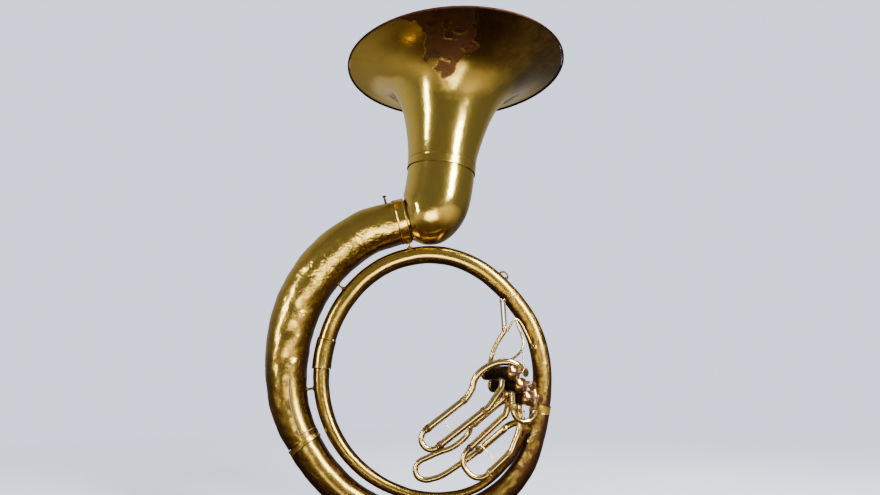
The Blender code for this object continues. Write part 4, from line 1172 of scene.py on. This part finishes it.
# ---------- stage
def floor():
    """Pale disc that fades out with distance, so no horizon line shows. In the metal's
    reflections it carries a painted shadow, dark under the instrument and warm further out,
    and a painted pool of sunlight that glows in one place in front."""
    n = Nodes(bpy.data.materials.new("floor"))
    n.fill(n.shader, {"Base Color": (0.74, 0.75, 0.80), "Metallic": 0.0, "Roughness": 0.6})
    distance = n.add("VectorMath", {0: n.place}, operation="LENGTH").outputs["Value"]
    pale = n.add("MixShader", {"Fac": n.span(distance, 1.0, 3.8), 1: n.shader,
                               2: n.add("BsdfTransparent")})
    # painted shadow: in the metal's reflections the floor is dark under the instrument
    painted_floor_shadow = n.mix(n.span(distance, 0.55, 1.5), (0.030, 0.018, 0.011), (0.15, 0.125, 0.09))
    place = n.add("SeparateXYZ", {0: n.place}).outputs
    forward = n.times(place["Y"], -1.0)
    aside = n.math("ABSOLUTE", n.math("SUBTRACT", place["X"], 0.10))
    # painted pool of sunlight in front, glowing only in the metal's reflections
    patch = n.times(n.span(forward, 0.75, 1.10), n.span(forward, 2.1, 3.0, 1.0, 0.0))
    patch = n.times(patch, n.span(aside, 0.30, 0.75, 1.0, 0.0))
    painted_sunlight = n.add("Emission", {"Color": (1.0, 0.93, 0.78), "Strength": n.times(patch, 6.0)})
    mirrored = n.add("AddShader", {0: n.add("BsdfDiffuse", {"Color": painted_floor_shadow}), 1: painted_sunlight})
    n.fill(n.tree.nodes["Material Output"], {"Surface": n.by_ray(pale, mirrored)})
    sides, radius = 96, 4.5
    verts = [(0, 0, 0)] + [(radius * math.cos(a), radius * math.sin(a), 0) for a in angles(sides)]
    mesh = bpy.data.meshes.new("floor")
    mesh.from_pydata(verts, [], [(0, k + 1, (k + 1) % sides + 1) for k in range(sides)])
    mesh.materials.append(n.owner)
    disc = bpy.data.objects.new("floor", mesh)
    disc.location = (0.0, 0.0, cad_low.z - 0.001)
    bpy.context.scene.collection.objects.link(disc)


def world():
    """Pale surround for the camera and for diffuse light. The metal mirrors a dark room
    with a pale wall behind and to the left."""
    n = Nodes(bpy.data.worlds.new("studio"))
    bpy.context.scene.world = n.owner
    pale = n.tree.nodes["Background"]
    n.fill(pale, {"Color": (0.76, 0.81, 1.0), "Strength": 1.65})
    wall = n.add("VectorMath", {0: n.coordinates["Generated"], 1: (-0.50, 0.86, 0.10)},
                 operation="DOT_PRODUCT").outputs["Value"]
    room = n.add("Background", {"Color": (1.0, 0.94, 0.86),
                                "Strength": n.span(wall, 0.0, 1.0, 0.13, 0.46)})
    n.fill(n.tree.nodes["World Output"], {"Surface": n.by_ray(pale, room)})


def softbox(name, place, target, width, height, power):
    data = bpy.data.lights.new(name, "AREA")
    data.shape = "RECTANGLE"
    data.size, data.size_y = width, height
    data.energy = power
    data.color = (1.0, 0.98, 0.95)
    lamp = bpy.data.objects.new(name, data)
    lamp.location = place
    lamp.rotation_euler = (Vector(target) - Vector(place)).to_track_quat("-Z", "Y").to_euler()
    lamp.visible_camera = False
    bpy.context.scene.collection.objects.link(lamp)
    return lamp


def lights():
    """A tall window on each side, and an overhead that lights without being mirrored."""
    softbox("window_right", (1.85, -1.85, 1.50), (0.02, 0, 0.25), width=0.64, height=3.1, power=310)
    softbox("window_left", (-2.05, -1.65, 0.20), (-0.10, 0, 0.10), width=0.20, height=1.2, power=36)
    overhead = softbox("overhead", (0.2, -0.4, 2.7), (0, 0, 0), width=2.4, height=2.4, power=40)
    overhead.visible_glossy = False


def camera():
    """As in the photo: low in front of the ring, looking up."""
    tilt = 12.4
    data = bpy.data.cameras.new("camera")
    data.lens = 24.545
    data.sensor_width = 36.0
    seen_from = bpy.data.objects.new("camera", data)
    seen_from.location = (0.017, -1.45, -0.276)
    seen_from.rotation_euler = (math.radians(90 + tilt), 0, 0)
    bpy.context.scene.collection.objects.link(seen_from)
    bpy.context.scene.camera = seen_from


branches()
bell_branch()
ferrules()
guard_plate()
stays()
collar()
bell()
for valve_number in (1, 2, 3):
    valve(valve_number)
knuckles()
first_slide()
second_slide()
third_slide()
tuning_slide()
leadpipe()
leadpipe_stays()
water_key()
floor()
world()
lights()
camera()
